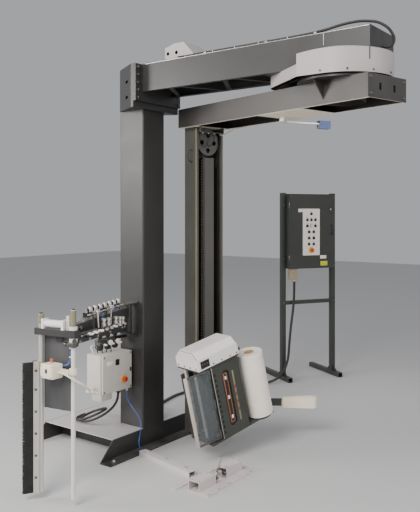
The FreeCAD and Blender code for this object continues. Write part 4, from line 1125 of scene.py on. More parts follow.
@dataclass
class TurningArm:
    """Arm, mast and photo eye: bolts, toothed racks, edge beads, top bracket and cables."""

    mast_in: float = 1.400
    rack_side: tuple[float, float] = (0.0452, 0.050)
    tooth_side: tuple[float, float] = (0.050, 0.064)
    tooth_pitch: float = 0.022
    teeth: int = 88
    bead_side: tuple[float, float] = (0.1355, 0.1385)
    bracket_x: tuple[float, float] = (1.364, 1.396)
    ear_side: tuple[float, float] = (0.112, 0.120)

    def build(self, nodes: dict[str, bpy.types.Object]) -> None:
        """Make the pieces of the arm and the mast.

        Args:
            nodes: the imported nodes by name.
        """
        ends = [(-0.353, y, z) for y in (-0.165, 0.165) for z in (2.555, 2.656)]
        bolts("arm_end_bolts", ends, (-1, 0, 0), 0.009, "rotary_arm", ARM, Finish.STEEL)
        ring = [(0.285 * math.cos(a), 0.285 * math.sin(a), 2.692)
                for a in [math.tau * i / 16 for i in range(16)]]
        bolts("turnplate_bolts", ring, (0, 0, 1), 0.008, "rotary_arm", ARM, Finish.STEEL)
        paint_where(nodes["arm"], Finish.IVORY, ARM, lambda p: p.z < 2.5312)
        self.strips()
        self.top_bracket()
        paint_where(nodes["photo_eye"], Finish.BLUE, ARM, lambda p: p.y < -0.32 and p.z < 2.53)
        lens = barred("eye_lens", (0.478, -0.407, 2.489), (0.4766, -0.4118, 2.489), 0.013, ARM)
        fix(lens, "rotary_arm", Finish.BRASS, "zinc_steel")
        hook = [(1.46, 0.150 + 0.03 * math.cos(a), 2.30 + 0.05 * math.sin(a))
                for a in [math.tau * i / 14 for i in range(15)]]
        fix(pipe("cable_ring", hook, 0.004, ARM), "rotary_arm", Finish.RUBBER, "hose_black")

    def strips(self) -> None:
        """Make the mast's toothed strips and the edge beads of its post."""
        for side, label in SIDES:
            low, high = across(side, *self.rack_side)
            rack = boxed("rack_" + label, (1.430, low, 0.340), (1.452, high, 2.300), ARM)
            fix(rack, "rotary_arm", Finish.STEEL, "black_steel")
            low, high = across(side, *self.tooth_side)
            tooth = slab("tooth_row_" + label, (1.431, low, 0.345), (1.451, high, 0.356), 0.002)
            array(tooth, self.teeth, (0.0, 0.0, self.tooth_pitch))
            fix(settle(tooth, ARM), "rotary_arm", Finish.STEEL, "black_steel")
        for side, label in SIDES:
            low, high = across(side, *self.bead_side)
            bead = boxed("mast_bead_" + label, (self.mast_in, low, 0.06), (self.mast_in + 0.012, high, 2.52),
                         ARM)
            fix(bead, "rotary_arm", Finish.OLIVE, "arm_paint")

    def top_bracket(self) -> None:
        """Make the bracket and the two cables that hang under the arm in front of the mast."""
        near, far = self.bracket_x
        plate = boxed("top_plate", (near, -self.ear_side[1], 2.486), (far, self.ear_side[1], 2.494), ARM)
        fix(plate, "rotary_arm", Finish.STEEL, "black_steel")
        for side, label in SIDES:
            low, high = across(side, *self.ear_side)
            ear = boxed("top_ear_" + label, (near, low, 2.4935), (far, high, 2.5302), ARM)
            fix(ear, "rotary_arm", Finish.MAST, "black_steel")
        bolts("top_bolts", [(1.380, y, 2.486) for y in (-0.09, -0.03, 0.03, 0.09)], (0, 0, -1), 0.008,
              "rotary_arm", ARM)
        lead = [(1.372, -0.085, 2.478), (1.352, -0.095, 2.468), (1.310, -0.110, 2.490),
                (1.250, -0.135, 2.514), (1.180, -0.150, 2.5262), (1.080, -0.152, 2.5262)]
        fix(pipe("top_cable", lead, 0.005, ARM), "rotary_arm", Finish.IVORY, "hose_black")
        drop = [(1.378, 0.060, 2.480), (1.366, 0.064, 2.440), (1.372, 0.050, 2.392), (1.386, 0.020, 2.372),
                (1.388, -0.012, 2.400), (1.380, -0.030, 2.448), (1.380, -0.036, 2.480)]
        fix(pipe("cable_drop", drop, 0.005, ARM), "rotary_arm", Finish.RUBBER, "hose_black")


@dataclass
class Carriage:
    """Film carriage: cover fittings, panel insert and marks, door, film roll and film web."""

    low: float = -0.563
    high: float = -0.012
    roll_at: tuple[float, float] = (0.060, -0.530)
    roll_radius: float = 0.105
    roll_core: float = 0.038
    roll_length: float = 0.500
    door_width: float = 0.205
    roller_b: tuple[float, float, float] = (0.160, -0.138, 0.0462)
    roller_a: tuple[float, float, float] = (0.080, -0.048, 0.0398)

    def build(self) -> None:
        """Make the pieces of the carriage."""
        self.cover_fittings()
        self.panel()
        self.door()
        self.roll()
        self.web()

    def cover_fittings(self) -> None:
        """Make the cover's screws and its key panel."""
        screws = [(-0.0005, -w, 0.014) for w in (0.14, 0.22, 0.30, 0.365)]
        bolts("cover_screws", screws, (-1, 0, 0), 0.0045, "carriage", CARRIAGE, Finish.STEEL)
        ends = [(s, 0.0005, 0.016) for s in (0.03, 0.10, 0.17, 0.24)]
        bolts("cover_end_screws", ends, (0, 1, 0), 0.0045, "carriage", CARRIAGE, Finish.STEEL)
        keys = boxed("key_panel", (0.006, -0.106, 0.010), (0.0135, -0.026, 0.064), CARRIAGE, 0.002)
        fix(keys, "carriage", Finish.BLACK, "black_plastic")
        model = round_bar("key", (0, 0, 0), (-0.004, 0, 0), 0.006, 0.001, 20)
        places = spread([(0.006, -w, 0.038) for w in (0.044, 0.066, 0.088)], CARRIAGE)
        fix(repeat("key_caps", model, places), "carriage", Finish.STEEL, "black_plastic")

    def panel(self) -> None:
        """Make the panel's capsule insert, border, band, blocks, marks, screws and rim, and black patches of
        painted shade in the notches.
        """
        deep, middle, radius = 0.0105, -0.224, 0.033
        turns = [math.pi * i / 12 for i in range(13)]
        outline = [(deep, middle + s * radius * math.cos(a), centre + s * radius * math.sin(a))
                   for s, centre in ((1, -0.106), (-1, -0.470)) for a in turns]
        fix(pressed("capsule_insert", outline, (-0.004, 0, 0), CARRIAGE, 0.0005), "carriage",
            Finish.BLACK, "black_plastic")
        bars = boxed("insert_stripe", (0.0056, -0.244, -0.478), (0.0064, -0.206, -0.098), CARRIAGE, 0.0002)
        fix(bars, "carriage", Finish.ORANGE, "red_plastic")
        band = boxed("insert_band", (0.0050, -0.239, -0.474), (0.0057, -0.211, -0.102), CARRIAGE, 0.0002)
        fix(band, "carriage", Finish.BLACK, "black_plastic")
        block = slab("block", (0.0046, -0.233, -0.120), (0.0051, -0.217, -0.146), 0.0002)
        array(block, 3, (0.0, 0.0, -0.152))
        fix(settle(block, CARRIAGE), "carriage", Finish.WHITE, "ivory_plastic")
        strip = boxed("side_strip", (-0.0012, -0.302, -0.49), (0.0, -0.286, -0.10), CARRIAGE, 0.0002)
        fix(strip, "carriage", Finish.OLIVE, "panel_paint")
        blocks = slab("mark", (-0.0018, -0.301, -0.235), (-0.0011, -0.287, -0.21), 0.0002)
        array(blocks, 4, (0.0, 0.0, -0.06))
        fix(settle(blocks, CARRIAGE), "carriage", Finish.DULL_RED, "red_plastic")
        corners = [(-0.0003, -w, h) for w in (0.115, 0.355) for h in (-0.553, -0.30, -0.03)]
        bolts("panel_screws", corners, (-1, 0, 0), 0.005, "carriage", CARRIAGE, Finish.STEEL)
        # Black patches on the panel face are painted shade, standing in for the notches along its top.
        recess_shade = slab("top_recess_shade", (-0.0015, -0.345, -0.020), (-0.0002, -0.331, -0.0125), 0.0004)
        array(recess_shade, 9, (0.0, 0.026, 0.0))
        fix(settle(recess_shade, CARRIAGE), "carriage", Finish.BLACK, "black_plastic")
        rim = boxed("panel_rim", (-0.004, -0.1085, self.low), (0.0, -0.1045, self.high), CARRIAGE)
        fix(rim, "carriage", Finish.ALUMINIUM, "aluminium")

    def door(self) -> None:
        """Make the hinged door: clear pane, edge bar, rails, hinge sleeves and screws."""
        low, high = self.low + 0.008, self.high - 0.008
        pane = boxed("door_pane", (0.006, -0.002, low), (self.door_width - 0.021, 0.002, high), DOOR,
                     0.0008)
        fix(pane, "carriage_door", Finish.CLEAR, "clear_sheet", "carriage_door")
        inner, outer = self.door_width - 0.022, self.door_width
        section = [(inner, -0.011, low), (outer - 0.004, -0.011, low), (outer, -0.007, low),
                   (outer, 0.007, low), (outer - 0.004, 0.011, low), (inner, 0.011, low)]
        fix(pressed("door_edge_bar", section, (0, 0, high - low), DOOR), "carriage_door",
            Finish.EDGE, "aluminium", "carriage_door")
        for label, z in (("top", high - 0.012), ("bottom", low)):
            rail = boxed("door_rail_" + label, (0.008, -0.005, z), (inner, 0.005, z + 0.012), DOOR)
            fix(rail, "carriage_door", Finish.STEEL, "black_steel")
        sleeve = round_bar("sleeve", (0, 0, 0), (0, 0, 0.07), 0.0092, 0.001, 24)
        places = spread([(0, 0, z) for z in (low, -0.32, high - 0.07)], DOOR)
        fix(repeat("door_hinges", sleeve, places), "carriage_door", Finish.STEEL, "black_steel")
        screws = [(outer - 0.011, -0.0112, z) for z in (low + 0.03, -0.29, high - 0.03)]
        bolts("door_screws", screws, (0, -1, 0), 0.004, "carriage_door", DOOR, Finish.STEEL)

    def roll(self) -> None:
        """Make the wound film and its card core, with slightly uneven winding."""
        base = self.low + 0.0093
        x, y = self.roll_at
        frame = CARRIAGE @ Matrix.Translation((x, y, base))
        r, core, height = self.roll_radius, self.roll_core, self.roll_length
        profile = [(core, 0.004), (core + 0.012, 0.0), (r - 0.004, 0.0), (r - 0.0008, 0.003)]
        profile += [(r - 0.0006 * (1 + math.sin(i * 1.7)) - 0.0004 * (i % 2),
                     0.003 + (height - 0.006) * i / 30) for i in range(1, 30)]
        profile += [(r - 0.001, height - 0.003), (r - 0.006, height)]
        profile += [(core + 0.045, height - 0.0012), (core + 0.03, height - 0.0005),
                    (core + 0.012, height - 0.0015), (core, height - 0.004), (core, 0.004)]
        fix(turned("wound_film", profile, frame, 96), "film", Finish.FILM, "film_white", "film_roll")
        shell = [(core - 0.006, 0.003), (core, 0.003), (core, height + 0.001), (core - 0.006, height + 0.001),
                 (core - 0.006, 0.003)]
        fix(turned("card_core", shell, frame, 48), "film", Finish.CORE, "film_white", "film_roll")

    def web(self) -> None:
        """Make the film that runs from the roll over the rollers to the door."""
        course = [(0.158, -0.562), (0.205, -0.330), (0.205, -0.144)]
        x, y, r = self.roller_b
        course += [(x + r * math.cos(a), y + r * math.sin(a))
                   for a in [math.pi * i / 10 for i in range(1, 8)]]
        x, y, r = self.roller_a
        course += [(x - r * math.cos(a), y + r * math.sin(a))
                   for a in [math.pi * (0.75 - i / 10) for i in range(5)]]
        low, high = self.low + 0.03, self.high - 0.04
        piece = sheet("film_web", course, low, high, 24, 0.0006, -1.0, CARRIAGE)
        fix(piece, "carriage", Finish.WEB, "film_white")


@dataclass
class Brush:
    """Brush of the wiper: core strip and separate tufts."""

    low: float = 0.052
    high: float = 0.882
    reach: float = 0.118
    root: float = 0.027
    tufts: int = 260

    def build(self) -> None:
        """Make the brush's core, its tufts and the holder's screws."""
        chance = random.Random(11)
        core = boxed("brush_core", (self.root, -0.0085, self.low), (self.reach - 0.012, 0.0085, self.high),
                     BRUSH, 0.002)
        fix(core, "wiper", Finish.BRUSH, "bristle", "brush")
        places = []
        step = (self.high - self.low) / self.tufts
        for side in (-1, 1):
            for i in range(self.tufts):
                z = self.low + step * (i + 0.5)
                sway = chance.uniform(-0.0015, 0.0015)
                turn = Matrix.Rotation(chance.uniform(-0.03, 0.03), 4, "Y")
                size = Matrix.Scale(chance.uniform(0.965, 1.0), 4, (1, 0, 0))
                places.append(BRUSH @ Matrix.Translation((self.root, side * 0.0085 + sway, z)) @ turn @ size)
        long = self.reach - self.root
        outline = [(0, -0.0035, 0), (long, -0.0012, 0), (long, 0.0012, 0), (0, 0.0035, 0)]
        tuft = pressed("tuft", outline, (0, 0, step * 0.86), Matrix.Translation((0, 0, -step * 0.43)), 0)
        fix(repeat("brush_tufts", tuft, places), "wiper", Finish.BRUSH, "bristle", "brush")
        for name, side in (("holder_screws", -1), ("holder_screws_back", 1)):
            holes = [(0.037, side * 0.0222, z) for z in (0.15, 0.29, 0.43, 0.57, 0.71, 0.83)]
            bolts(name, holes, (0, side, 0), 0.0065, "wiper", BRUSH, Finish.STEEL)


@dataclass
class Curtain:
    """Rubber curtain that hangs behind the crossbeam."""

    low: float = 0.585
    high: float = 1.057
    start: float = 0.008
    stop: float = 0.240
    back: float = 0.0218

    def build(self) -> None:
        """Make the curtain as one hung sheet."""
        course = [(self.start + (self.stop - self.start) * i / 20, self.back) for i in range(21)]
        piece = sheet("curtain_sheet", course, self.low, self.high, 24, 0.002, 0.0, CROSSBEAM, 0.0016)
        fix(piece, "wiper", Finish.SLATE, "curtain_rubber", "curtain")


@dataclass
class Wiper:
    """Fittings of the swinging wiper: valves, unions, hoses, rod caps, collars and sealer details."""

    valves: int = 8
    pitch: float = 0.078
    first: float = 0.154
    top: float = 1.152

    def build(self, nodes: dict[str, bpy.types.Object]) -> None:
        """Make the wiper's fittings.

        Args:
            nodes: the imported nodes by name.
        """
        self.paint(nodes)
        self.valve_row()
        self.front_rail()
        self.fittings()
        self.rods()
        self.sealer()

    def paint(self, nodes: dict[str, bpy.types.Object]) -> None:
        """Give the valve bank its several finishes.

        Args:
            nodes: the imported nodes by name.
        """
        bank = nodes["valve_bank"]
        for part, finish in ((1, Finish.BLACK), (2, Finish.WHITE)):
            paint_where(bank, finish, REAR_RAIL, lambda p, part=part: p.z > 1.1221 and 0.1 < p.x < 0.8
                        and int((p.x - 0.13) / self.pitch) % 3 == part)
        paint_where(bank, Finish.COVER, CROSSBEAM, lambda p: 0.0 < p.x < 0.205 and abs(p.y) < 0.03)
        paint_where(bank, Finish.BOX, CROSSBEAM, lambda p: 0.207 < p.x < 0.234 and abs(p.y) < 0.0045)

    def valve_row(self) -> None:
        """Make the fittings, coils and bent pipes of the rear rail's valves."""
        nut = turned("nut", [(0.0, 0.0), (0.0075, 0.0), (0.0075, 0.006), (0.0055, 0.0075), (0.0055, 0.014),
                             (0.0065, 0.0145), (0.0065, 0.018), (0.0, 0.018)], HERE, 12)
        spots = [(self.first + i * self.pitch + dx, dy) for i in range(self.valves)
                 for dx, dy in ((-0.012, -0.008), (0.012, 0.008))]
        ups = spread([(x, y, self.top) for x, y in spots], REAR_RAIL)
        sides = spread([(self.first + i * self.pitch + dx, 0.016, 1.137) for i in range(self.valves)
                        for dx in (-0.014, 0.0, 0.014)], REAR_RAIL, TO_BACK)
        fix(repeat("valve_nuts", nut, ups + sides), "wiper", Finish.ZINC, "zinc_steel")
        coil = slab("coil", (-0.010, -0.012, 0.0), (0.010, 0.012, 0.024), 0.003)
        places = spread([(self.first + (i + 0.5) * self.pitch, 0.0, 1.122) for i in range(self.valves - 1)],
                        REAR_RAIL)
        fix(repeat("valve_coils", coil, places), "wiper", Finish.BLACK, "black_plastic")
        bend = pipe("bend", [(0, 0, 0), (0, 0, 0.006), (0.012, 0.0, 0.014), (0.039, 0.0, 0.017),
                             (0.066, 0.0, 0.014), (self.pitch, 0, 0.006), (self.pitch, 0, 0)], 0.0034)
        places = spread([(self.first - 0.012 + i * self.pitch, -0.008, self.top + 0.014)
                         for i in range(self.valves - 1)], REAR_RAIL)
        fix(repeat("valve_pipes", bend, places), "wiper", Finish.ZINC, "zinc_steel")

    def fittings(self) -> None:
        """Make the unions, plugs and hoses that crowd both rails."""
        profile = [(0.0, 0.0), (0.008, 0.0), (0.008, 0.008), (0.011, 0.010), (0.011, 0.020),
                   (0.008, 0.022), (0.008, 0.032), (0.0, 0.033)]
        rows = ((Finish.ALUMINIUM, "union_row", 0.0, 0.0), (Finish.WHITE, "plug_row", 0.026, 0.004),
                (Finish.BLACK, "cap_row", 0.052, -0.003))
        for finish, name, shift, lift in rows:
            tops = spread([(0.168 + shift + i * self.pitch, 0.004, 1.150 + lift)
                           for i in range(self.valves - 1)], REAR_RAIL)
            fronts = spread([(0.150 + shift * 1.3 + i * 0.101, 0.0081,
                              0.985 + 0.06 * (0.15 + i * 0.101) + lift) for i in range(8)],
                            FRONT_RAIL, TO_BACK)
            union = turned("union", profile, HERE, 14)
            fix(repeat(name, union, tops + fronts), "wiper", finish, "zinc_steel")
        for i in range(7):
            start = REAR_RAIL @ Vector((0.190 + 0.078 * i, 0.020, 1.140))
            stop = FRONT_RAIL @ Vector((0.200 + 0.082 * i, -0.012, 0.990 + 0.006 * i))
            rise = Vector((0.0, 0.0, 0.028 + 0.006 * (i % 3)))
            course = [start, start.lerp(stop, 0.2) + rise, start.lerp(stop, 0.55) + rise * 0.4,
                      start.lerp(stop, 0.85) - rise * 0.5, stop]
            finish = (Finish.RUBBER, Finish.BLUE, Finish.WHITE)[i % 3]
            fix(pipe("rail_hose_%d" % (i + 1), course, 0.0045), "wiper", finish, "hose_black")

    def front_rail(self) -> None:
        """Make the regulators, screws, pipe and ties on the front rail."""
        body = turned("body", [(0.0, 0.0), (0.016, 0.0), (0.016, 0.018), (0.012, 0.022), (0.012, 0.034),
                               (0.018, 0.036), (0.018, 0.050), (0.014, 0.054), (0.0, 0.054)], HERE, 20)
        spots = [(0.20, 1.012), (0.27, 1.022), (0.36, 1.036), (0.52, 1.050), (0.62, 1.060)]
        places = spread([(x, 0.024, z - 0.010) for x, z in spots], FRONT_RAIL)
        fix(repeat("rail_regulators", body, places), "wiper", Finish.ALUMINIUM, "aluminium")
        foot = slab("foot", (-0.014, 0.0081, -0.022), (0.014, 0.034, 0.0), 0.002)
        places = spread([(x, 0.0, z - 0.012) for x, z in spots], FRONT_RAIL)
        fix(repeat("regulator_feet", foot, places), "wiper", Finish.STEEL, "black_steel")
        heads = [(x, 0.0081, 0.955 + 0.06 * x) for x in (0.10, 0.16, 0.44, 0.70, 0.85, 1.02)]
        bolts("rail_screws", heads, (0, 1, 0), 0.008, "wiper", FRONT_RAIL)
        line = pipe("rail_pipe", [(0.10, 0.014, 0.985), (0.30, 0.014, 1.0), (0.60, 0.014, 1.022),
                                  (0.90, 0.014, 1.043), (1.02, 0.014, 1.050)], 0.004, FRONT_RAIL)
        fix(line, "wiper", Finish.ZINC, "zinc_steel")
        ties = slab("tie", (-0.003, 0.0081, -0.006), (0.003, 0.019, 0.006), 0.001)
        places = spread([(x, 0.0, 0.985 + 0.0715 * (x - 0.1)) for x in (0.14, 0.32, 0.50, 0.68, 0.86, 0.98)],
                        FRONT_RAIL)
        fix(repeat("rail_ties", ties, places), "wiper", Finish.BLACK, "black_plastic")

    def rods(self) -> None:
        """Make the rods' sleeves, caps and clamp collars."""
        for label, at, radius, top in (("near", NEAR_ROD, 0.014, 1.230), ("far", FAR_ROD, 0.016, 1.190)):
            r = radius + 0.0003
            sleeve = [(r, 1.128), (r + 0.003, 1.128), (r + 0.003, top - 0.006), (r, top - 0.004), (r, 1.128)]
            fix(turned("rod_sleeve_" + label, sleeve, Matrix.Translation(at), 28), "wiper",
                Finish.OLIVE, "zinc_steel")
            cap = [(0.0, top), (radius * 0.9, top), (radius * 0.6, top + 0.006), (0.0, top + 0.008)]
            fix(turned("rod_cap_" + label, cap, Matrix.Translation(at), 24), "wiper", Finish.BLACK,
                "black_plastic")
        ring = [(0.0143, 1.000), (0.030, 1.000), (0.032, 1.004), (0.032, 1.024), (0.030, 1.029),
                (0.0143, 1.029), (0.0143, 1.000)]
        fix(turned("rod_collar", ring, Matrix.Translation(NEAR_ROD), 32), "wiper", Finish.STEEL,
            "black_steel")
        knob = [(0.0, 0.0), (0.005, 0.0), (0.005, 0.016), (0.013, 0.018), (0.015, 0.024), (0.013, 0.032),
                (0.0, 0.033)]
        places = []
        for degrees, z in ((-35, 1.014), (215, 1.014), (-35, 1.041), (80, 1.115)):
            a = math.radians(degrees)
            at = (NEAR_ROD[0] + 0.0262 * math.cos(a), NEAR_ROD[1] + 0.0262 * math.sin(a), z)
            places.append(Matrix.Translation(at) @ aimed((math.cos(a), math.sin(a), 0)))
        fix(repeat("collar_knobs", turned("knob", knob, HERE, 16), places), "wiper", Finish.STEEL,
            "black_steel")

    def sealer(self) -> None:
        """Make the sealer box's plug, lid line, screws and the pipes down the rod."""
        plug = barred("sealer_plug", (0.372, -1.252, 0.888), (0.372, -1.252, 0.915), 0.010, HERE, 0.002, 20)
        fix(plug, "wiper", Finish.ORANGE, "red_plastic")
        lid = slab("sealer_lid", (0.336, -1.3135, 0.803), (0.444, -1.3105, 0.887), 0.003)
        fix(lid, "wiper", Finish.IVORY, "ivory_plastic")
        mark = slab("sealer_mark", (0.380, -1.3142, 0.835), (0.402, -1.3132, 0.862), 0.0003)
        fix(mark, "wiper", Finish.STEEL, "black_plastic")
        screws = [(x, -1.3134, z) for x in (0.344, 0.436) for z in (0.811, 0.879)]
        bolts("sealer_screws", screws, (0, -1, 0), 0.004, "wiper")
        for i, dx in enumerate((-0.020, -0.027)):
            course = [(0.50 + dx / 2, -1.19, 1.055), (0.52 + dx, -1.198, 1.03), (0.52 + dx, -1.205, 0.98),
                      (0.52 + dx, -1.207, 0.90), (0.49 + dx, -1.222, 0.875), (0.44 + dx, -1.235, 0.872)]
            fix(pipe("blue_pipe_%d" % (i + 1), course, 0.003), "wiper", Finish.BLUE, "hose_blue")
        clip = slab("clip", (0.489, -1.213, 0.0), (0.506, -1.199, 0.006), 0.001)
        fix(repeat("rod_clips", clip, spread([(0, 0, z) for z in (0.93, 0.985)])), "wiper",
            Finish.WHITE, "ivory_plastic")


@dataclass
class JunctionBox:
    """Junction box and air supply on the column."""

    face: float = 0.023
    low: Point = (-0.150, -0.463, 0.458)
    high: Point = (0.007, -0.150, 0.750)
    bowls: tuple[float, ...] = (-0.400, -0.320, -0.240)

    def build(self, nodes: dict[str, bpy.types.Object]) -> None:
        """Make the box's fittings.

        Args:
            nodes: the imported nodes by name.
        """
        door = nodes["box_door"]
        paint_where(door, Finish.BLACK, HERE, lambda p: p.x > self.face + 0.0002 and p.z > 0.64)
        paint_where(door, Finish.YELLOW, HERE, lambda p: p.x > self.face + 0.0002 and p.z < 0.60)
        corners = [(self.face + 0.0001, y, z) for y in (-0.450, -0.163) for z in (0.472, 0.736)]
        bolts("box_screws", corners, (1, 0, 0), 0.005, "box_door", HERE, Finish.STEEL)
        latch = slab("box_latch", (self.face, -0.172, 0.59), (self.face + 0.008, -0.160, 0.622), 0.002)
        fix(latch, "box_door", Finish.BLACK, "black_plastic")
        label = slab("blank_label", (self.face, -0.42, 0.668), (self.face + 0.0006, -0.36, 0.70), 0.0002)
        fix(label, "box_door", Finish.WHITE, "ivory_plastic")
        nut = turned("gland_nut", [(0.0108, 0.0), (0.0185, 0.0), (0.0185, -0.010), (0.014, -0.016),
                                   (0.0108, -0.018), (0.0108, 0.0)], HERE, 12)
        fix(repeat("gland_nuts", nut, spread([(-0.060, -0.215, 0.4299)])), "base",
            Finish.BLACK, "black_plastic")
        for i, (x, y) in enumerate(((-0.12, -0.43), (-0.10, -0.40), (-0.08, -0.37))):
            course = [(x, y, 0.750), (x, y, 0.775), (x - 0.02, y - 0.015, 0.80), (x - 0.01, y + 0.03, 0.815),
                      (x + 0.02, y + 0.07, 0.80), (x + 0.02, y + 0.075, 0.775), (x + 0.02, y + 0.075, 0.750)]
            fix(pipe("top_lead_%d" % (i + 1), course, 0.004), "base",
                Finish.WHITE if i == 0 else Finish.RUBBER, "hose_black")
        self.air()

    def air(self) -> None:
        """Make the air supply: bar, regulator heads, bowls, knobs, gauges and the small box."""
        bar = slab("supply_bar", (-0.092, -0.440, 0.842), (-0.056, -0.127, 0.866), 0.002)
        fix(bar, "base", Finish.STEEL, "black_steel", "air_unit")
        head = slab("head", (-0.028, -0.030, 0.0), (0.028, 0.030, 0.034), 0.005)
        spots = spread([(-0.074, y, 0.812) for y in self.bowls])
        fix(repeat("regulator_heads", head, spots), "base", Finish.STEEL, "black_steel", "air_unit")
        bowl = [(0.0, -0.040), (0.012, -0.040), (0.022, -0.034), (0.026, -0.022), (0.026, -0.002),
                (0.022, 0.0), (0.0, 0.0)]
        fix(repeat("regulator_bowls", turned("bowl", bowl, HERE, 28), spots), "base", Finish.BLACK,
            "black_plastic", "air_unit")
        knob = [(0.0, 0.054), (0.010, 0.054), (0.010, 0.060), (0.018, 0.062), (0.020, 0.068), (0.020, 0.086),
                (0.016, 0.090), (0.0, 0.090)]
        fix(repeat("regulator_knobs", turned("knob", knob, HERE, 24), spots), "base", Finish.BLACK,
            "black_plastic")
        dial = turned("dial", [(0.0, 0.0), (0.018, 0.0), (0.020, 0.003), (0.020, 0.014), (0.016, 0.016),
                               (0.0, 0.015)], HERE, 28)
        places = spread([(-0.046, y, 0.829) for y in self.bowls[1:]], HERE, TO_RIGHT)
        fix(repeat("gauge_dials", dial, places), "base", Finish.WHITE, "ivory_plastic")
        elbow = turned("elbow", [(0.0, 0.0), (0.009, 0.0), (0.009, 0.010), (0.006, 0.012), (0.006, 0.024),
                                 (0.0, 0.024)], HERE, 14)
        places = spread([(-0.046, y + 0.022, 0.818) for y in self.bowls], HERE, TO_RIGHT)
        fix(repeat("supply_elbows", elbow, places), "base", Finish.WHITE, "ivory_plastic")
        small = slab("small_box", (-0.110, -0.450, 0.396), (-0.012, -0.330, 0.458), 0.004)
        fix(small, "base", Finish.BOX, "box_paint", "air_unit")
        lid = slab("small_box_lid", (-0.0122, -0.447, 0.399), (-0.0100, -0.333, 0.455), 0.001)
        fix(lid, "base", Finish.BOX, "box_paint", "air_unit")


@dataclass
class FloorClamp:
    """Floor clamp: springs, posts, screws and the wing screws of the hose cover."""

    pivot: Point = (0.985, -0.330, 0.040)

    def build(self) -> None:
        """Make the clamp's small pieces."""
        coil = [(0.011 * math.cos(math.tau * i / 12), -0.009 + 0.018 * i / 48,
                 0.011 * math.sin(math.tau * i / 12)) for i in range(49)]
        spring = pipe("spring", coil, 0.0022)
        x, y, z = self.pivot
        places = spread([(x + 0.034, y + dy, z) for dy in (-0.049, 0.049)])
        fix(repeat("clamp_springs", spring, places), "base", Finish.STEEL, "black_steel")
        posts = [round_bar("post", (x + 0.034, y + side * 0.038, z), (x + 0.034, y + side * 0.0622, z), 0.006)
                 for side in (-1, 1)]
        fix(merge("spring_posts", posts), "base", Finish.STEEL, "black_steel")
        screws = [(1.098, yy, 0.006) for yy in (-0.57, -0.45, -0.33, -0.20, -0.07)]
        screws += [(0.935, -0.57, 0.006), (0.935, -0.06, 0.006)]
        bolts("clamp_plate_screws", screws, (0, 0, 1), 0.006, "base")
        tops = [(xx, yy, 0.070) for xx in (0.958, 1.010) for yy in (-0.56, -0.41, -0.25, -0.09)]
        bolts("clamp_top_screws", tops, (0, 0, 1), 0.005, "base")
        wing = slab("wing", (-0.014, -0.002, 0.004), (0.014, 0.002, 0.016), 0.0015)
        start, stop = Vector((0.242, -0.262, 0.036)), Vector((0.8133, -0.3767, 0.036))
        places = spread([start.lerp(stop, f) for f in (0.12, 0.5, 0.88)], HERE, Matrix.Rotation(0.6, 4, "Z"))
        fix(repeat("cover_wings", wing, places), "base", Finish.ZINC, "zinc_steel")


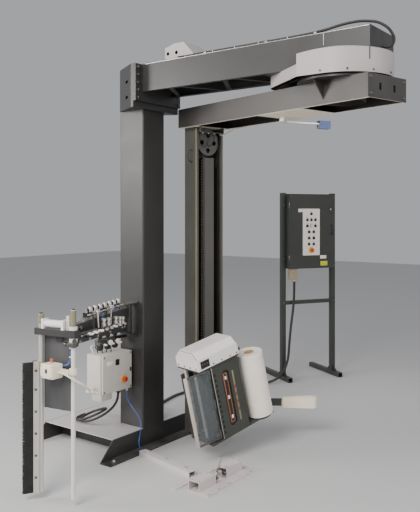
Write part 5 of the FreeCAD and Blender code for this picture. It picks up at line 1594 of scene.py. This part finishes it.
@dataclass
class Console:
    """Free-standing console: lamps, labels, rings, hinges, handle, gland and stand bolts."""

    face: float = -0.105
    row_top: float = 1.829
    row_step: float = 0.067
    middle: float = -0.020
    lamp_bands: tuple[tuple[Finish, float, float], ...] = (
        (Finish.BLACK, 1.73, 9.0), (Finish.COVER, 1.67, 1.72), (Finish.BLACK, 1.40, 1.66))

    def build(self, nodes: dict[str, bpy.types.Object]) -> None:
        """Make the console's fittings.

        Args:
            nodes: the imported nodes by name.
        """
        door = nodes["console_door"]
        front = self.face - 0.0001
        paint_where(door, Finish.WHITE, CONSOLE, lambda p: p.y < front and p.x < 0.15)
        paint_where(door, Finish.ZINC, CONSOLE, lambda p: p.y < front and p.x > 0.20)
        lamp = self.face - 0.0032
        for finish, low, high in self.lamp_bands:
            paint_where(door, finish, CONSOLE,
                        lambda p, low=low, high=high: p.y < lamp and p.x < 0.15 and low < p.z < high)
        paint_where(nodes["console_cabinet"], Finish.TAN, CONSOLE,
                    lambda p: 1.09 < p.z < 1.2249)
        self.labels()
        self.hinges()
        self.stand()

    def labels(self) -> None:
        """Make the rings round the operators, the blank plates and cards, and the E-stop's disc."""
        plate = self.face - 0.003
        three, two = (-0.052, 0.0, 0.052), (-0.030, 0.030)
        spots = [(dx, i) for i, xs in enumerate(((0.0,), three, three, two, two, two)) for dx in xs]
        ring = turned("ring", [(0.0135, 0.0), (0.0175, 0.0), (0.0165, 0.0025), (0.0140, 0.003),
                               (0.0135, 0.0)], HERE, 28)
        at = [(self.middle + dx, plate, self.row_top - i * self.row_step) for dx, i in spots]
        fix(repeat("operator_rings", ring, spread(at, CONSOLE, TO_FRONT)),
            "console_door", Finish.STEEL, "black_plastic")
        tag = slab("tag", (-0.014, -0.0008, 0.0), (0.014, 0.0, 0.009), 0.0003)
        fix(repeat("legend_plates", tag, spread([(x, y, z + 0.020) for x, y, z in at], CONSOLE)),
            "console_door", Finish.BOX, "ivory_plastic")
        disc = turned("disc", [(0.0125, 0.0), (0.036, 0.0), (0.036, 0.002), (0.0125, 0.002), (0.0125, 0.0)],
                      HERE, 32)
        spot = (self.middle, plate, self.row_top - 6 * self.row_step)
        fix(repeat("estop_disc", disc, spread([spot], CONSOLE, TO_FRONT)), "console_door",
            Finish.YELLOW, "red_plastic")
        cards = (("white_card", (0.095, -0.1062, 1.330), (0.175, -0.1052, 1.366), Finish.WHITE),
                 ("yellow_card", (0.100, -0.1062, 1.252), (0.190, -0.1052, 1.302), Finish.LIME),
                 ("plate_tab", (-0.185, -0.1062, 1.848), (-0.130, -0.1052, 1.884), Finish.WHITE))
        for name, low, high, finish in cards:
            fix(boxed(name, low, high, CONSOLE, 0.0002), "console_door", finish, "ivory_plastic")

    def hinges(self) -> None:
        """Make the door's hinge sleeves, its handle and its corner screws."""
        sleeve = round_bar("sleeve", (0, 0, -0.03), (0, 0, 0.03), 0.0075, 0.001, 20)
        places = spread([(-0.2955, -0.101, z) for z in (1.34, 1.92)], CONSOLE)
        fix(repeat("console_hinges", sleeve, places), "console_door", Finish.STEEL, "black_steel")
        handle = [(0.246, -0.106, 1.60), (0.246, -0.128, 1.605), (0.246, -0.132, 1.62), (0.246, -0.132, 1.68),
                  (0.246, -0.128, 1.695), (0.246, -0.106, 1.70)]
        fix(pipe("console_handle", handle, 0.005, CONSOLE), "console_door", Finish.BLACK, "black_plastic")
        edges = [(x, -0.1052, z) for x in (-0.27, 0.27) for z in (1.25, 2.015)]
        bolts("door_corner_screws", edges, (0, -1, 0), 0.006, "console_door", CONSOLE, Finish.STEEL)

    def stand(self) -> None:
        """Make the stand's bolts and the conduit's gland nut."""
        sides = [(x, -0.0252, z) for x in (-0.32, 0.32) for z in (1.325, 1.925, 0.845)]
        bolts("stand_bolts", sides, (0, -1, 0), 0.008, "base", CONSOLE, Finish.STEEL)
        gland = turned("conduit_gland", [(0.0128, 0.0), (0.024, 0.0), (0.024, -0.012), (0.018, -0.020),
                                         (0.0128, -0.022), (0.0128, 0.0)], HERE, 24)
        fix(repeat("conduit_gland", gland, spread([(0.007, 2.468, 1.0999)])), "base",
            Finish.ZINC, "zinc_steel")


# ---- stage ------------------------------------------------------------------------------------------
@dataclass
class Studio:
    """Pale floor, soft lights and the camera."""

    camera_at: Point = (3.7347, -4.0958, 1.83)
    turn: float = 36.664
    lens: float = 47.76
    shift: float = -0.0826

    def build(self) -> None:
        """Make the floor, the lights and the camera."""
        deselect()
        bpy.ops.mesh.primitive_plane_add(size=40.0, location=(0, 0, -0.0005))
        floor = bpy.context.object
        floor.name = "studio_floor"
        made, g, shader = new_material("pale_floor")
        shader.inputs["Base Color"].default_value = (0.56, 0.56, 0.56, 1)
        shader.inputs["Roughness"].default_value = 0.7
        floor.data.materials.append(made)
        self.lamp("key", (1.5, -5.5, 5.0), (0.5, 0.0, 1.0), 3.0, 470.0)
        self.lamp("fill", (6.5, -0.5, 3.0), (0.8, 0.3, 1.2), 4.0, 130.0)
        self.lamp("left", (-4.0, -4.5, 3.0), (0.0, -0.3, 1.2), 2.5, 260.0)
        world = bpy.data.worlds.new("studio")
        bpy.context.scene.world = world
        world.use_nodes = True
        sky = world.node_tree.nodes["Background"]
        sky.inputs["Color"].default_value = (0.93, 0.95, 1.0, 1)
        sky.inputs["Strength"].default_value = 0.45
        data = bpy.data.cameras.new("camera")
        data.lens = self.lens
        data.sensor_width = 36.0
        data.shift_y = self.shift
        camera = added("camera", data)
        camera.location = self.camera_at
        camera.rotation_euler = (math.radians(90), 0, math.radians(self.turn))
        bpy.context.scene.camera = camera

    @staticmethod
    def lamp(name: str, at: Point, to: Point, size: float, power: float) -> None:
        """Add one soft area light.

        Args:
            name: the light's name.
            at: where it stands.
            to: what it points at.
            size: side of the light.
            power: its power in watts.
        """
        data = bpy.data.lights.new(name, "AREA")
        data.size = size
        data.energy = power
        data.color = (1.0, 0.965, 0.93)
        lamp = added(name, data)
        lamp.location = at
        lamp.rotation_euler = (Vector(to) - Vector(at)).to_track_quat("-Z", "Y").to_euler()


def dress_nodes(nodes: dict[str, bpy.types.Object]) -> None:
    """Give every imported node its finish.

    Args:
        nodes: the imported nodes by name.
    """
    for finish, names in NODE_FINISH.items():
        for name in names:
            dress(nodes[name], finish)


def main() -> None:
    """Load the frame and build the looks."""
    logging.basicConfig(level=logging.INFO, format="%(message)s")
    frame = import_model()
    Groups.build()
    Studio().build()
    cords()
    dress_nodes(frame["nodes"])
    Base().build()
    Drive().build()
    TurningArm().build(frame["nodes"])
    Carriage().build()
    Brush().build()
    Curtain().build()
    Wiper().build(frame["nodes"])
    JunctionBox().build(frame["nodes"])
    FloorClamp().build()
    Console().build(frame["nodes"])
    feeler = frame["nodes"]["feeler"]
    paint_where(feeler, Finish.PANEL, FEELER, lambda p: p.x < 0.1585)
    bolts("feeler_bolts", [(x, 0.0125, z) for x in (0.137, 0.151) for z in (-0.016, 0.016)], (0, 1, 0),
          0.005, "feeler", FEELER)


if __name__ == "__main__":
    main()
